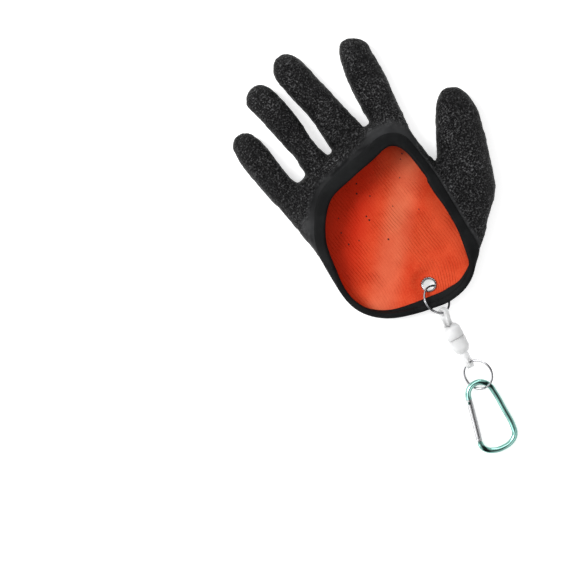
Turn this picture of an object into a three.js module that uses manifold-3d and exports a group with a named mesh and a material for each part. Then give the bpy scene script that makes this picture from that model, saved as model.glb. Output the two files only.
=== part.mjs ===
// Fishing glove for the left hand, lying palm down with its cut-out back facing up.
// Millimetres. +Y runs to the fingertips, +X to the thumb, +Z up. The floor is z = 0, and the
// origin is the middle of the palm's flat underside.
import * as THREE from 'three';
import { mergeVertices } from 'three/addons/utils/BufferGeometryUtils.js';
import Module from 'manifold-3d';

const wasm = await Module();
wasm.setup();

// Glove sizes
const PALM_WIDTH = 120;
const PALM_LENGTH = 146;
const PALM_MIDDLE_Y = 12;
const PALM_HEIGHT = 27;
const PALM_SIDES = 24;
const HEEL_LIFT = 9;
const FLAT_SHARE = 0.3;
const SQUARENESS = 2.5;
const DIGIT_SIDES = 10;
const DIGIT_WAIST = 0.45;
const LEAST_REACH = 0.25;

// Walls, and the gap kept between pieces that touch
const GAP = 0.3;
const COAT_WALL = 1.1;
const LINER_WALL = 0.8;
const TAPE = 1.0;
const LINER_FACE = COAT_WALL + GAP;
const TOTAL_WALL = LINER_FACE + LINER_WALL;

// Opening in the back of the hand
const HEM_CLEAR = 0.6;
const HEM_Z = HEEL_LIFT + TOTAL_WALL + HEM_CLEAR;
const HEM_OVERRUN = 9;
const BAND_WIDTH = 8.2;
const BAND_SIDES = 8;
const OPENING_STEPS = 34;
const SKY = 60;

// Eyelet in the heel of the palm
const EYELET_ASIDE = -3.5;
const EYELET_FROM_HEEL = 19.8;
const EYELET = new THREE.Vector2(EYELET_ASIDE, PALM_MIDDLE_Y - PALM_LENGTH / 2 + EYELET_FROM_HEEL);
const EYELET_FLANGE_R = 6.4;
const EYELET_HOLE_R = 4.5;
const EYELET_METAL = 0.4;
const EYELET_MOUTH = 1.4;
const EYELET_SEAT = 0.45;
const ROUND_SIDES = 14;

// Split rings
const RING_R = 11.5;
const RING_WIRE_WIDE = 1.4;
const RING_WIRE_THICK = 0.8;
const RING_SLIT = 0.25;
const RING_PITCH = RING_WIRE_THICK + RING_SLIT;
const RING_TURNS = 1.94;
const RING_STEPS = 28;
const GLOVE_RING_TILT = THREE.MathUtils.degToRad(36);
const GLOVE_RING_EXIT_Z = 10.3;
const CLIP_RING_TILT = THREE.MathUtils.degToRad(33);
const CLIP_RING_EXIT_Z = 6.9;
const CLIP_RING_FAR_Z = 8.45;
const RING_SEAT = new THREE.Vector3(0.3, -1.2, 0.3);
const RING_LEAN = new THREE.Vector2(-4.5, -23.5).normalize();
const RING_SLACK = 0.93;

// Magnetic release, two halves that part at a seam
const BARREL_R = 6.8;
const BARREL_HALF = 12;
const BARREL_FACE_R = 6.1;
const SHOULDER_R = 4.6;
const SHOULDER_LENGTH = 3.6;
const RELEASE_CLEAR = 0.4;
const RELEASE_Z = BARREL_R + RELEASE_CLEAR;
const FACE_BEVEL = 0.9;
const END_BEVEL = 0.6;
const END_TAPER = 0.9;
const BOSS_R = 3.6;
const BOSS_LENGTH = 2;
const BOSS_BEVEL = 0.5;
const BOSS_BEVEL_LONG = 0.6;
const EAR_THICK = 2.4;
const EAR_R = 4.3;
const EAR_HOLE_R = 2.3;
const EAR_NECK = 4.8;
const EAR_SUNK = 2;
const EAR_REACH = 9.74;
const RELEASE_LEAN = new THREE.Vector2(-8.2, -42.7).normalize();
const RELEASE_AXIS_TOP = EYELET.clone().addScaledVector(RING_LEAN, 2 * RING_R + RING_SLACK);
const RELEASE_AXIS_END = RELEASE_AXIS_TOP.clone()
  .addScaledVector(RELEASE_LEAN, 2 * (BARREL_HALF + EAR_REACH));
const SEAM_SHARE = 0.517;

// Carabiner
const CLIP_LENGTH = 59;
const CLIP_TUBE_R = 2.3;
const CLIP_HANG = new THREE.Vector3(-6.14, 7.53, 5.98);
const CLIP_TURN = THREE.MathUtils.degToRad(-12.4);
const CLIP_PITCH = THREE.MathUtils.degToRad(3.2);
const CLIP_STEPS = 32;
const CLIP_SIDES = 10;
const GATE_R = 2.4;
const TONGUE_THICK = 1.6;
const TONGUE_WIDE = 3.2;
const TONGUE_ROOT = 1.0;
const HINGE_TONGUE = 1.5;
const NOSE_TONGUE = 3.4;
const NOSE_TONGUE_WIDE = 2.4;
const FORK_DEPTH = 2.4;
const PIN_R = 0.8;
const PIN_PROUD = 0.25;
const LATCH_PIN_R = 0.75;
const LATCH_FROM_TIP = 1.1;
const LATCH_ASIDE = 0.5;

// Palm sections, heel to knuckles. y is a share of the palm's length from its middle, left and right
// are shares of its width, low is a share of the heel's lift, high and waist of the palm's height.
const PALM_ROWS = [
  { y: -0.493, left: 0.000, right: 0.125, low: 1.00, waist: 0.445, high: 0.665 },
  { y: -0.466, left: -0.098, right: 0.216, low: 0.94, waist: 0.435, high: 0.665 },
  { y: -0.445, left: -0.174, right: 0.250, low: 0.87, waist: 0.430, high: 0.665 },
  { y: -0.418, left: -0.250, right: 0.296, low: 0.77, waist: 0.425, high: 0.665 },
  { y: -0.384, left: -0.332, right: 0.358, low: 0.62, waist: 0.420, high: 0.665 },
  { y: -0.342, left: -0.398, right: 0.438, low: 0.43, waist: 0.415, high: 0.670 },
  { y: -0.288, left: -0.454, right: 0.515, low: 0.20, waist: 0.410, high: 0.700 },
  { y: -0.219, left: -0.493, right: 0.550, low: 0.00, waist: 0.410, high: 0.740 },
  { y: -0.137, left: -0.504, right: 0.545, low: 0.00, waist: 0.410, high: 0.810 },
  { y: -0.027, left: -0.491, right: 0.525, low: 0.00, waist: 0.415, high: 0.890 },
  { y: 0.123, left: -0.477, right: 0.483, low: 0.00, waist: 0.420, high: 0.965 },
  { y: 0.329, left: -0.478, right: 0.482, low: 0.00, waist: 0.410, high: 1.000 },
  { y: 0.411, left: -0.484, right: 0.502, low: 0.00, waist: 0.390, high: 0.960 },
  { y: 0.459, left: -0.462, right: 0.490, low: 0.00, waist: 0.370, high: 0.850 },
  { y: 0.486, left: -0.262, right: 0.440, low: 0.06, waist: 0.350, high: 0.740 },
  { y: 0.500, left: -0.175, right: 0.365, low: 0.22, waist: 0.340, high: 0.620 },
];

// Digits. root is where each axis starts: aside is a share of the palm's width, up a share of its
// length from its middle. reach is the axis in plan, girth half the full width and thick the full
// height. Rows: at is a share of the length, left and right are shares of the girth, high a share of
// the thickness and low how far the underside lifts, as a share of it too.
const DIGITS = {
  little: {
    root: { aside: -0.406, up: 0.3425 }, reach: [0, 78.3], girth: 12, thick: 17.5,
    rows: [
      { at: 0.00, left: -0.35, right: 0.60, high: 1.00, low: 0.04 },
      { at: 0.23, left: -0.84, right: 1.06, high: 1.08, low: 0.00 },
      { at: 0.36, left: -0.90, right: 0.97, high: 1.04, low: 0.00 },
      { at: 0.49, left: -0.95, right: 0.95, high: 1.00, low: 0.00 },
      { at: 0.74, left: -0.98, right: 0.98, high: 0.97, low: 0.00 },
      { at: 0.87, left: -0.86, right: 0.85, high: 0.90, low: 0.03 },
      { at: 0.94, left: -0.72, right: 0.71, high: 0.80, low: 0.10 },
      { at: 0.98, left: -0.45, right: 0.46, high: 0.67, low: 0.22 },
      { at: 1.00, left: -0.22, right: 0.22, high: 0.55, low: 0.32 },
    ],
  },
  ring: {
    root: { aside: -0.132, up: 0.3425 }, reach: [0, 100.5], girth: 12, thick: 18.5,
    rows: [
      { at: 0.00, left: -0.95, right: 1.00, high: 1.05, low: 0.00 },
      { at: 0.29, left: -0.81, right: 0.89, high: 1.06, low: 0.00 },
      { at: 0.39, left: -0.73, right: 0.82, high: 1.03, low: 0.00 },
      { at: 0.60, left: -0.88, right: 0.95, high: 1.00, low: 0.00 },
      { at: 0.76, left: -0.99, right: 0.93, high: 0.97, low: 0.00 },
      { at: 0.88, left: -1.10, right: 0.82, high: 0.90, low: 0.02 },
      { at: 0.93, left: -1.05, right: 0.72, high: 0.82, low: 0.08 },
      { at: 0.975, left: -0.75, right: 0.48, high: 0.68, low: 0.20 },
      { at: 1.00, left: -0.36, right: 0.12, high: 0.55, low: 0.32 },
    ],
  },
  middle: {
    root: { aside: 0.129, up: 0.3425 }, reach: [0, 107], girth: 14, thick: 19,
    rows: [
      { at: 0.00, left: -0.95, right: 0.95, high: 1.05, low: 0.00 },
      { at: 0.22, left: -0.98, right: 1.12, high: 1.07, low: 0.00 },
      { at: 0.36, left: -0.92, right: 1.02, high: 1.02, low: 0.00 },
      { at: 0.54, left: -0.87, right: 0.91, high: 1.00, low: 0.00 },
      { at: 0.73, left: -1.00, right: 0.79, high: 0.97, low: 0.00 },
      { at: 0.86, left: -1.04, right: 0.69, high: 0.91, low: 0.02 },
      { at: 0.93, left: -0.91, right: 0.58, high: 0.82, low: 0.08 },
      { at: 0.975, left: -0.66, right: 0.36, high: 0.68, low: 0.20 },
      { at: 1.00, left: -0.32, right: 0.06, high: 0.55, low: 0.32 },
    ],
  },
  index: {
    root: { aside: 0.388, up: 0.3425 }, reach: [14.7, 86], girth: 14, thick: 19,
    rows: [
      { at: 0.00, left: -0.60, right: 0.35, high: 1.00, low: 0.04 },
      { at: 0.14, left: -0.91, right: 0.85, high: 1.08, low: 0.00 },
      { at: 0.26, left: -0.92, right: 0.92, high: 1.06, low: 0.00 },
      { at: 0.47, left: -0.95, right: 1.01, high: 1.00, low: 0.00 },
      { at: 0.58, left: -0.94, right: 1.05, high: 1.00, low: 0.00 },
      { at: 0.69, left: -0.89, right: 1.04, high: 0.98, low: 0.00 },
      { at: 0.80, left: -0.79, right: 1.03, high: 0.93, low: 0.01 },
      { at: 0.89, left: -0.65, right: 0.98, high: 0.85, low: 0.06 },
      { at: 0.96, left: -0.44, right: 0.66, high: 0.70, low: 0.18 },
      { at: 1.00, left: -0.20, right: 0.18, high: 0.55, low: 0.32 },
    ],
  },
  thumb: {
    root: { aside: 0.38, up: -0.332 }, reach: [54.7, 107.2], girth: 20, thick: 22,
    rows: [
      { at: 0.00, left: -0.60, right: 0.20, high: 0.68, low: 0.21 },
      { at: 0.12, left: -0.80, right: 0.62, high: 0.82, low: 0.09 },
      { at: 0.27, left: -0.90, right: 1.04, high: 0.97, low: 0.00 },
      { at: 0.37, left: -0.92, right: 1.14, high: 1.00, low: 0.00 },
      { at: 0.49, left: -0.92, right: 1.15, high: 1.00, low: 0.00 },
      { at: 0.62, left: -0.80, right: 1.125, high: 0.97, low: 0.00 },
      { at: 0.80, left: -0.645, right: 1.045, high: 0.89, low: 0.00 },
      { at: 0.88, left: -0.53, right: 0.895, high: 0.83, low: 0.04 },
      { at: 0.93, left: -0.42, right: 0.755, high: 0.76, low: 0.09 },
      { at: 0.975, left: -0.245, right: 0.53, high: 0.66, low: 0.19 },
      { at: 1.00, left: -0.06, right: 0.26, high: 0.52, low: 0.30 },
    ],
  },
};

// Edge of the opening, anticlockwise from the heel. x is a share of the palm's width and y of its
// length. over is 1 where the edge runs round the heel's rim and the cut passes outside it.
const OPENING_ROWS = [
  { x: 0.042, y: -0.486, over: 1 },
  { x: 0.133, y: -0.483, over: 1 },
  { x: 0.208, y: -0.455, over: 1 },
  { x: 0.254, y: -0.408, over: 0.3 },
  { x: 0.288, y: -0.349, over: 0 },
  { x: 0.321, y: -0.274, over: 0 },
  { x: 0.346, y: -0.185, over: 0 },
  { x: 0.358, y: -0.082, over: 0 },
  { x: 0.375, y: 0.014, over: 0 },
  { x: 0.388, y: 0.110, over: 0 },
  { x: 0.390, y: 0.205, over: 0 },
  { x: 0.379, y: 0.288, over: 0 },
  { x: 0.342, y: 0.339, over: 0 },
  { x: 0.283, y: 0.356, over: 0 },
  { x: 0.167, y: 0.342, over: 0 },
  { x: 0.000, y: 0.336, over: 0 },
  { x: -0.150, y: 0.329, over: 0 },
  { x: -0.217, y: 0.301, over: 0 },
  { x: -0.267, y: 0.260, over: 0 },
  { x: -0.346, y: 0.192, over: 0 },
  { x: -0.400, y: 0.123, over: 0 },
  { x: -0.433, y: 0.055, over: 0 },
  { x: -0.462, y: -0.014, over: 0 },
  { x: -0.478, y: -0.068, over: 0.2 },
  { x: -0.488, y: -0.137, over: 0.7 },
  { x: -0.483, y: -0.205, over: 1 },
  { x: -0.458, y: -0.267, over: 1 },
  { x: -0.408, y: -0.322, over: 1 },
  { x: -0.333, y: -0.375, over: 1 },
  { x: -0.250, y: -0.409, over: 1 },
  { x: -0.167, y: -0.438, over: 1 },
  { x: -0.067, y: -0.464, over: 1 },
];

const OPENING_MIDDLE = new THREE.Vector2(-0.033, -0.055);

// Where the knitted liner stops inside the digits, as shares of the palm's width and length
const LINER_REACH = [
  [-0.60, -0.60], [0.60, -0.60], [0.78, -0.08], [0.66, 0.20], [0.60, 0.58], [-0.60, 0.58],
];

// Centre line of the carabiner's open frame from the gate's hinge round to the nose, across and
// along the clip, as shares of its length
const CLIP_ROWS = [
  [-0.262, -0.276], [-0.262, -0.335], [-0.228, -0.392], [-0.140, -0.444], [-0.010, -0.462],
  [0.112, -0.438], [0.192, -0.372], [0.219, -0.272], [0.209, -0.010], [0.190, 0.240],
  [0.164, 0.361], [0.095, 0.440], [0.005, 0.464], [-0.083, 0.434], [-0.140, 0.362],
  [-0.153, 0.318],
];
const CLIP_TOP = new THREE.Vector2(0.005, 0.464).multiplyScalar(CLIP_LENGTH);
const HINGE = new THREE.Vector2(-0.258, -0.228).multiplyScalar(CLIP_LENGTH);
const NOSE = new THREE.Vector2(-0.154, 0.300).multiplyScalar(CLIP_LENGTH);

// Solids and geometry

function volumeOf(positions, triangles) {
  const a = new THREE.Vector3();
  const b = new THREE.Vector3();
  const c = new THREE.Vector3();
  let volume = 0;
  for (let i = 0; i < triangles.length; i += 3) {
    a.fromArray(positions, 3 * triangles[i]);
    b.fromArray(positions, 3 * triangles[i + 1]);
    c.fromArray(positions, 3 * triangles[i + 2]);
    volume += a.dot(b.cross(c)) / 6;
  }
  return volume;
}

function solid(geometry) {
  const bare = geometry.clone();
  bare.deleteAttribute('normal');
  bare.deleteAttribute('uv');
  const merged = mergeVertices(bare, 1e-4);
  const vertProperties = new Float32Array(merged.attributes.position.array);
  const triVerts = new Uint32Array(merged.index.array);
  if (volumeOf(vertProperties, triVerts) < 0) {
    triVerts.reverse();
  }
  return new wasm.Manifold(new wasm.Mesh({ numProp: 3, vertProperties, triVerts }));
}

function geometryOf(manifold) {
  const mesh = manifold.getMesh();
  const geometry = new THREE.BufferGeometry();
  geometry.setAttribute('position', new THREE.BufferAttribute(new Float32Array(mesh.vertProperties), 3));
  geometry.setIndex(new THREE.BufferAttribute(new Uint32Array(mesh.triVerts), 1));
  geometry.computeVertexNormals();
  return geometry;
}

// A closed skin through rings of equal count. Open ends get a fan round their centre.
function loft(rings, joined = false) {
  const count = rings[0].length;
  const points = rings.flat();
  const triangles = [];
  const last = joined ? rings.length : rings.length - 1;
  for (let i = 0; i < last; i += 1) {
    const here = i * count;
    const next = ((i + 1) % rings.length) * count;
    for (let k = 0; k < count; k += 1) {
      const l = (k + 1) % count;
      triangles.push(here + k, next + k, next + l, here + k, next + l, here + l);
    }
  }
  if (!joined) {
    const ends = [{ from: 0, flip: false }, { from: (rings.length - 1) * count, flip: true }];
    for (const { from, flip } of ends) {
      const centre = new THREE.Vector3();
      for (let k = 0; k < count; k += 1) {
        centre.addScaledVector(points[from + k], 1 / count);
      }
      points.push(centre);
      for (let k = 0; k < count; k += 1) {
        const l = (k + 1) % count;
        const pair = flip ? [from + l, from + k] : [from + k, from + l];
        triangles.push(points.length - 1, ...pair);
      }
    }
  }
  const geometry = new THREE.BufferGeometry().setFromPoints(points);
  geometry.setIndex(triangles);
  return geometry;
}

// A rounded section [across, up], flat where it would pass below its floor
function section({ left, right, floor, waist, high, sides, flat = 0 }) {
  const half = (right - left) / 2;
  const middle = (right + left) / 2;
  const belly = Math.max(floor + LEAST_REACH, Math.min(waist, high - LEAST_REACH));
  const power = 2 / SQUARENESS;
  const ring = [];
  for (let k = 0; k < sides; k += 1) {
    const angle = (2 * Math.PI * (k + 0.5)) / sides;
    const across = Math.sign(Math.cos(angle)) * Math.abs(Math.cos(angle)) ** power;
    const up = Math.sign(Math.sin(angle)) * Math.abs(Math.sin(angle)) ** power;
    const reach = up > 0 ? high - belly : belly - floor + flat;
    ring.push([middle + half * across, Math.max(floor, belly + reach * up)]);
  }
  return ring;
}

// Hollow form of the palm, moved inwards by inset
function palm(inset) {
  const shrink = 1 - inset / (PALM_LENGTH / 2);
  const rings = PALM_ROWS.map((row) => {
    const y = PALM_MIDDLE_Y + row.y * PALM_LENGTH * shrink;
    const ring = section({
      left: row.left * PALM_WIDTH + inset,
      right: row.right * PALM_WIDTH - inset,
      floor: row.low * HEEL_LIFT + inset,
      waist: row.waist * PALM_HEIGHT,
      high: row.high * PALM_HEIGHT - inset,
      flat: FLAT_SHARE * PALM_HEIGHT,
      sides: PALM_SIDES,
    });
    return ring.map(([x, z]) => new THREE.Vector3(x, y, z));
  });
  return solid(loft(rings));
}

// Form of one digit, moved inwards by inset
function digit({ root, reach, girth, thick, rows }, inset) {
  const start = new THREE.Vector2(root.aside * PALM_WIDTH, PALM_MIDDLE_Y + root.up * PALM_LENGTH);
  const along = new THREE.Vector2(...reach);
  const length = along.length();
  along.normalize();
  const rings = rows.map((row) => {
    const s = inset + row.at * (length - 2 * inset);
    const ring = section({
      left: row.left * girth + inset,
      right: row.right * girth - inset,
      floor: row.low * thick + inset,
      waist: DIGIT_WAIST * thick,
      high: row.high * thick - inset,
      flat: FLAT_SHARE * thick,
      sides: DIGIT_SIDES,
    });
    return ring.map(([t, z]) => new THREE.Vector3(
      start.x + along.x * s + along.y * t,
      start.y + along.y * s - along.x * t,
      z,
    ));
  });
  return solid(loft(rings));
}

function hand(inset) {
  return Object.values(DIGITS).reduce((sum, one) => sum.add(digit(one, inset)), palm(inset));
}

const outerForm = hand(0);

// The opening's edge as a smooth closed curve, with the height of the glove's back above it
function openingPoints() {
  const skin = new THREE.Mesh(geometryOf(outerForm), new THREE.MeshBasicMaterial());
  const caster = new THREE.Raycaster();
  const down = new THREE.Vector3(0, 0, -1);
  return OPENING_ROWS.map(({ x, y, over }) => {
    const point = new THREE.Vector3(x * PALM_WIDTH, PALM_MIDDLE_Y + y * PALM_LENGTH, SKY);
    caster.set(point, down);
    const hit = caster.intersectObject(skin)[0];
    const top = hit ? hit.point.z : HEM_Z;
    point.z = THREE.MathUtils.lerp(top, HEM_Z, over);
    return { point, over };
  });
}

const opening = openingPoints();
const edgeCurve = new THREE.CatmullRomCurve3(opening.map(({ point }) => point), true, 'centripetal');

// A prism over the opening. inset draws its wall in and lifts its underside.
function openingCut(inset) {
  const middle = new THREE.Vector2(OPENING_MIDDLE.x * PALM_WIDTH, PALM_MIDDLE_Y + OPENING_MIDDLE.y * PALM_LENGTH);
  const corners = opening.map(({ point, over }) => {
    const outward = new THREE.Vector2(point.x, point.y).sub(middle).normalize();
    const away = over * HEM_OVERRUN - inset;
    return new THREE.Vector3(point.x + outward.x * away, point.y + outward.y * away, 0);
  });
  const line = new THREE.CatmullRomCurve3(corners, true, 'centripetal').getPoints(OPENING_STEPS);
  const outline = new THREE.Shape(line.slice(0, -1).map(({ x, y }) => new THREE.Vector2(x, y)));
  const prism = new THREE.ExtrudeGeometry(outline, { depth: SKY, bevelEnabled: false });
  prism.translate(0, 0, HEM_Z + inset);
  return solid(prism);
}

// A fat tube round the opening's edge, which the binding stays inside
function bandReach() {
  const steps = OPENING_STEPS;
  const centres = edgeCurve.getPoints(steps).slice(0, -1);
  const rings = centres.map((centre, i) => {
    const ahead = centres[(i + 1) % steps];
    const behind = centres[(i + steps - 1) % steps];
    const side = new THREE.Vector3(ahead.y - behind.y, behind.x - ahead.x, 0).normalize();
    return Array.from({ length: BAND_SIDES }, (_, k) => {
      const angle = (2 * Math.PI * k) / BAND_SIDES;
      const point = centre.clone().addScaledVector(side, BAND_WIDTH * Math.cos(angle));
      point.z += BAND_WIDTH * Math.sin(angle);
      return point;
    });
  });
  return solid(loft(rings, true));
}

function prismOver(corners) {
  const outline = new THREE.Shape(corners.map(([x, y]) => (
    new THREE.Vector2(x * PALM_WIDTH, PALM_MIDDLE_Y + y * PALM_LENGTH)
  )));
  const prism = new THREE.ExtrudeGeometry(outline, { depth: SKY, bevelEnabled: false });
  return solid(prism);
}

// Eyelet: a rolled tube through the palm's heel, square to the sloping floor there

// Height and slope of the palm's underside, or of a face that lies inset above it
function floorAt(y, inset) {
  const length = PALM_LENGTH - 2 * inset;
  const rows = PALM_ROWS.map(({ y: share, low }) => (
    [PALM_MIDDLE_Y + share * length, low * HEEL_LIFT + inset]
  ));
  const i = rows.findIndex(([edge]) => edge > y);
  const [y0, z0] = rows[i - 1];
  const [y1, z1] = rows[i];
  return { z: z0 + ((z1 - z0) * (y - y0)) / (y1 - y0), slope: (z1 - z0) / (y1 - y0) };
}

const heelUnder = floorAt(EYELET.y, 0);
const heelTop = floorAt(EYELET.y, TOTAL_WALL);
const heelSlope = Math.atan(heelUnder.slope);
const heelMiddle = (heelUnder.z + heelTop.z) / 2;
const heelThick = (heelTop.z - heelUnder.z) * Math.cos(heelSlope);
const eyeletPlace = new THREE.Object3D();
eyeletPlace.position.set(EYELET.x, EYELET.y, heelMiddle);
eyeletPlace.rotation.x = Math.PI / 2 + heelSlope;
eyeletPlace.updateMatrix();

// A lathe form about the eyelet's axis
function aboutEyelet(profile) {
  const outline = profile.map(([r, h]) => new THREE.Vector2(r, h));
  const geometry = new THREE.LatheGeometry(outline, ROUND_SIDES);
  return solid(geometry.applyMatrix4(eyeletPlace.matrix));
}

function eyelet() {
  const barrel = EYELET_HOLE_R + EYELET_METAL;
  const under = heelThick / 2 + EYELET_SEAT;
  const face = under + EYELET_METAL;
  const waist = under / 2;
  const throat = EYELET_HOLE_R + EYELET_METAL / 3;
  const mouth = EYELET_HOLE_R + EYELET_MOUTH;
  return aboutEyelet([
    [EYELET_HOLE_R, -waist], [throat, -under], [mouth, -face], [EYELET_FLANGE_R, -under],
    [barrel, -under], [barrel, under], [EYELET_FLANGE_R, under], [mouth, face],
    [throat, under], [EYELET_HOLE_R, waist], [EYELET_HOLE_R, -waist],
  ]);
}

function eyeletBore() {
  const r = EYELET_HOLE_R + EYELET_METAL + GAP;
  const reach = 3 * TOTAL_WALL;
  return aboutEyelet([[0, -reach], [r, -reach], [r, reach], [0, reach]]);
}

// Glove pieces

const bore = eyeletBore();
const cut = openingCut(0);

function latexCoat() {
  return outerForm.subtract(hand(COAT_WALL)).subtract(cut).subtract(bore);
}

function knitLiner() {
  const skin = hand(LINER_FACE).subtract(hand(TOTAL_WALL));
  return skin.intersect(prismOver(LINER_REACH)).subtract(cut).subtract(bore);
}

function edgeBinding() {
  const outside = hand(-GAP - TAPE).subtract(hand(TOTAL_WALL + GAP + TAPE)).subtract(openingCut(GAP + TAPE));
  const inside = hand(-GAP).subtract(hand(TOTAL_WALL + GAP)).subtract(openingCut(GAP));
  return outside.subtract(inside).intersect(bandReach());
}

// Split rings: a flat wire wound nearly twice round

function splitRing() {
  const wire = [
    [-0.5, -0.28], [0, -0.5], [0.5, -0.28], [0.5, 0.28], [0, 0.5], [-0.5, 0.28],
  ];
  const rings = [];
  for (let i = 0; i <= RING_STEPS; i += 1) {
    const turn = (i / RING_STEPS - 0.5) * RING_TURNS;
    const angle = 2 * Math.PI * turn;
    rings.push(wire.map(([across, thick]) => {
      const r = RING_R + across * RING_WIRE_WIDE;
      const z = turn * RING_PITCH + thick * RING_WIRE_THICK;
      return new THREE.Vector3(r * Math.cos(angle), r * Math.sin(angle), z);
    }));
  }
  return solid(loft(rings));
}

// A frame with its x along the ring's long axis and its y along the wire at the ring's ends
function ringBasis(from, to, tilt, sign) {
  const long = to.clone().sub(from).normalize();
  const level = new THREE.Vector3(-long.y, long.x, 0).normalize().multiplyScalar(sign);
  const up = new THREE.Vector3().crossVectors(long, level).normalize();
  if (up.z < 0) {
    up.negate();
  }
  const side = level.multiplyScalar(Math.cos(tilt)).addScaledVector(up, Math.sin(tilt));
  const normal = new THREE.Vector3().crossVectors(long, side);
  return { long, side, normal };
}

function placed(manifold, { long, side, normal }, centre) {
  const matrix = new THREE.Matrix4().makeBasis(long, side, normal).setPosition(centre);
  return solid(geometryOf(manifold).applyMatrix4(matrix));
}

const eyeletPoint = new THREE.Vector3(EYELET.x, EYELET.y, heelMiddle).add(RING_SEAT);
const gloveRingExit = new THREE.Vector3(RELEASE_AXIS_TOP.x, RELEASE_AXIS_TOP.y, GLOVE_RING_EXIT_Z);
const gloveRing = ringBasis(eyeletPoint, gloveRingExit, GLOVE_RING_TILT, -1);
const gloveRingCentre = gloveRingExit.clone().addScaledVector(gloveRing.long, -RING_R);

// Release: its axis lies level, and each half carries an ear square to its ring's wire

const releaseTop = new THREE.Vector3(RELEASE_AXIS_TOP.x, RELEASE_AXIS_TOP.y, RELEASE_Z);
const releaseEnd = new THREE.Vector3(RELEASE_AXIS_END.x, RELEASE_AXIS_END.y, RELEASE_Z);
const releaseAxis = releaseEnd.clone().sub(releaseTop).normalize();
const seam = releaseTop.clone().lerp(releaseEnd, SEAM_SHARE);

const clipRingExit = new THREE.Vector3(RELEASE_AXIS_END.x, RELEASE_AXIS_END.y, CLIP_RING_EXIT_Z);
const clipRingFar = new THREE.Vector3(RELEASE_AXIS_END.x, RELEASE_AXIS_END.y - 2 * RING_R, CLIP_RING_FAR_Z);
const clipRing = ringBasis(clipRingExit, clipRingFar, CLIP_RING_TILT, 1);
const clipRingCentre = clipRingExit.clone().addScaledVector(clipRing.long, RING_R);

// Half of the barrel about its axis, from the seam at h = 0 outwards
function barrelHalf(withBoss) {
  const face = GAP / 2;
  const mate = withBoss
    ? [[0, face - BOSS_LENGTH], [BOSS_R - BOSS_BEVEL, face - BOSS_LENGTH],
      [BOSS_R, face - BOSS_LENGTH + BOSS_BEVEL_LONG], [BOSS_R, face]]
    : [[0, BOSS_LENGTH + face], [BOSS_R + GAP, BOSS_LENGTH + face], [BOSS_R + GAP, face]];
  const skirt = [
    [BARREL_FACE_R, face], [BARREL_R, face + FACE_BEVEL], [BARREL_R, BARREL_HALF - SHOULDER_LENGTH],
    [SHOULDER_R, BARREL_HALF - END_BEVEL], [SHOULDER_R - END_TAPER, BARREL_HALF], [0, BARREL_HALF],
  ];
  const outline = [...mate, ...skirt].map(([r, h]) => new THREE.Vector2(r, h));
  return new THREE.LatheGeometry(outline, ROUND_SIDES);
}

// The ear: an eye on a neck, in the plane square to the ring's wire
function releaseHalf(withBoss, outward, wireSide, eye) {
  const side = wireSide.clone().addScaledVector(outward, -wireSide.dot(outward)).normalize();
  const across = new THREE.Vector3().crossVectors(outward, side);
  const basis = new THREE.Matrix4().makeBasis(side, outward, across).setPosition(seam);
  const toEye = eye.clone().sub(seam);
  const shift = { side: toEye.dot(side), out: toEye.dot(outward), across: toEye.dot(across) };
  const neck = EAR_NECK / 2;
  const outline = new THREE.Shape();
  outline.moveTo(BARREL_HALF - EAR_SUNK, -neck);
  outline.lineTo(BARREL_HALF, -neck);
  outline.lineTo(shift.out, shift.across - EAR_R);
  outline.absarc(shift.out, shift.across, EAR_R, -Math.PI / 2, Math.PI / 2, false);
  outline.lineTo(BARREL_HALF, neck);
  outline.lineTo(BARREL_HALF - EAR_SUNK, neck);
  outline.closePath();
  const hole = new THREE.Path();
  hole.absarc(shift.out, shift.across, EAR_HOLE_R, 0, 2 * Math.PI, true);
  outline.holes.push(hole);
  const plate = new THREE.ExtrudeGeometry(outline, {
    depth: EAR_THICK, bevelEnabled: false, curveSegments: 8,
  });
  const stand = new THREE.Matrix4().makeBasis(
    new THREE.Vector3(0, 1, 0), new THREE.Vector3(0, 0, 1), new THREE.Vector3(1, 0, 0),
  );
  stand.setPosition(shift.side - EAR_THICK / 2, 0, 0);
  const barrel = solid(barrelHalf(withBoss).applyMatrix4(basis));
  return barrel.add(solid(plate.applyMatrix4(stand).applyMatrix4(basis)));
}

// Carabiner, modelled flat in its own frame with z square to it

function tubeAlong(curve, radius, sides, steps) {
  const outline = new THREE.Shape();
  outline.absarc(0, 0, radius, 0, 2 * Math.PI, false);
  return new THREE.ExtrudeGeometry(outline, {
    extrudePath: curve, steps, curveSegments: sides / 2, bevelEnabled: false,
  });
}

function rod(from, to, radius, sides) {
  const axis = to.clone().sub(from);
  const geometry = new THREE.CylinderGeometry(radius, radius, axis.length(), sides);
  const turn = new THREE.Quaternion().setFromUnitVectors(new THREE.Vector3(0, 1, 0), axis.clone().normalize());
  geometry.applyQuaternion(turn);
  const middle = from.clone().add(to).multiplyScalar(0.5);
  return geometry.translate(middle.x, middle.y, middle.z);
}

const gateAxis = NOSE.clone().sub(HINGE).normalize();
const gateAngle = Math.atan2(gateAxis.y, gateAxis.x);
const endFace = GATE_R + GAP;

// A block along the gate's axis from s0 to s1, of a given width across and thickness
function blockOnGate(s0, s1, width, thick, aside = 0) {
  const geometry = new THREE.BoxGeometry(s1 - s0, width, thick);
  geometry.translate((s0 + s1) / 2, aside, 0);
  geometry.rotateZ(gateAngle);
  return solid(geometry.translate(HINGE.x, HINGE.y, 0));
}

function pinOnGate(s, radius, height, aside = 0) {
  const geometry = new THREE.CylinderGeometry(radius, radius, height, CLIP_SIDES);
  geometry.rotateX(Math.PI / 2);
  geometry.translate(s, aside, 0);
  geometry.rotateZ(gateAngle);
  return solid(geometry.translate(HINGE.x, HINGE.y, 0));
}

function onGate(s) {
  return new THREE.Vector3(HINGE.x + gateAxis.x * s, HINGE.y + gateAxis.y * s, 0);
}

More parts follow.
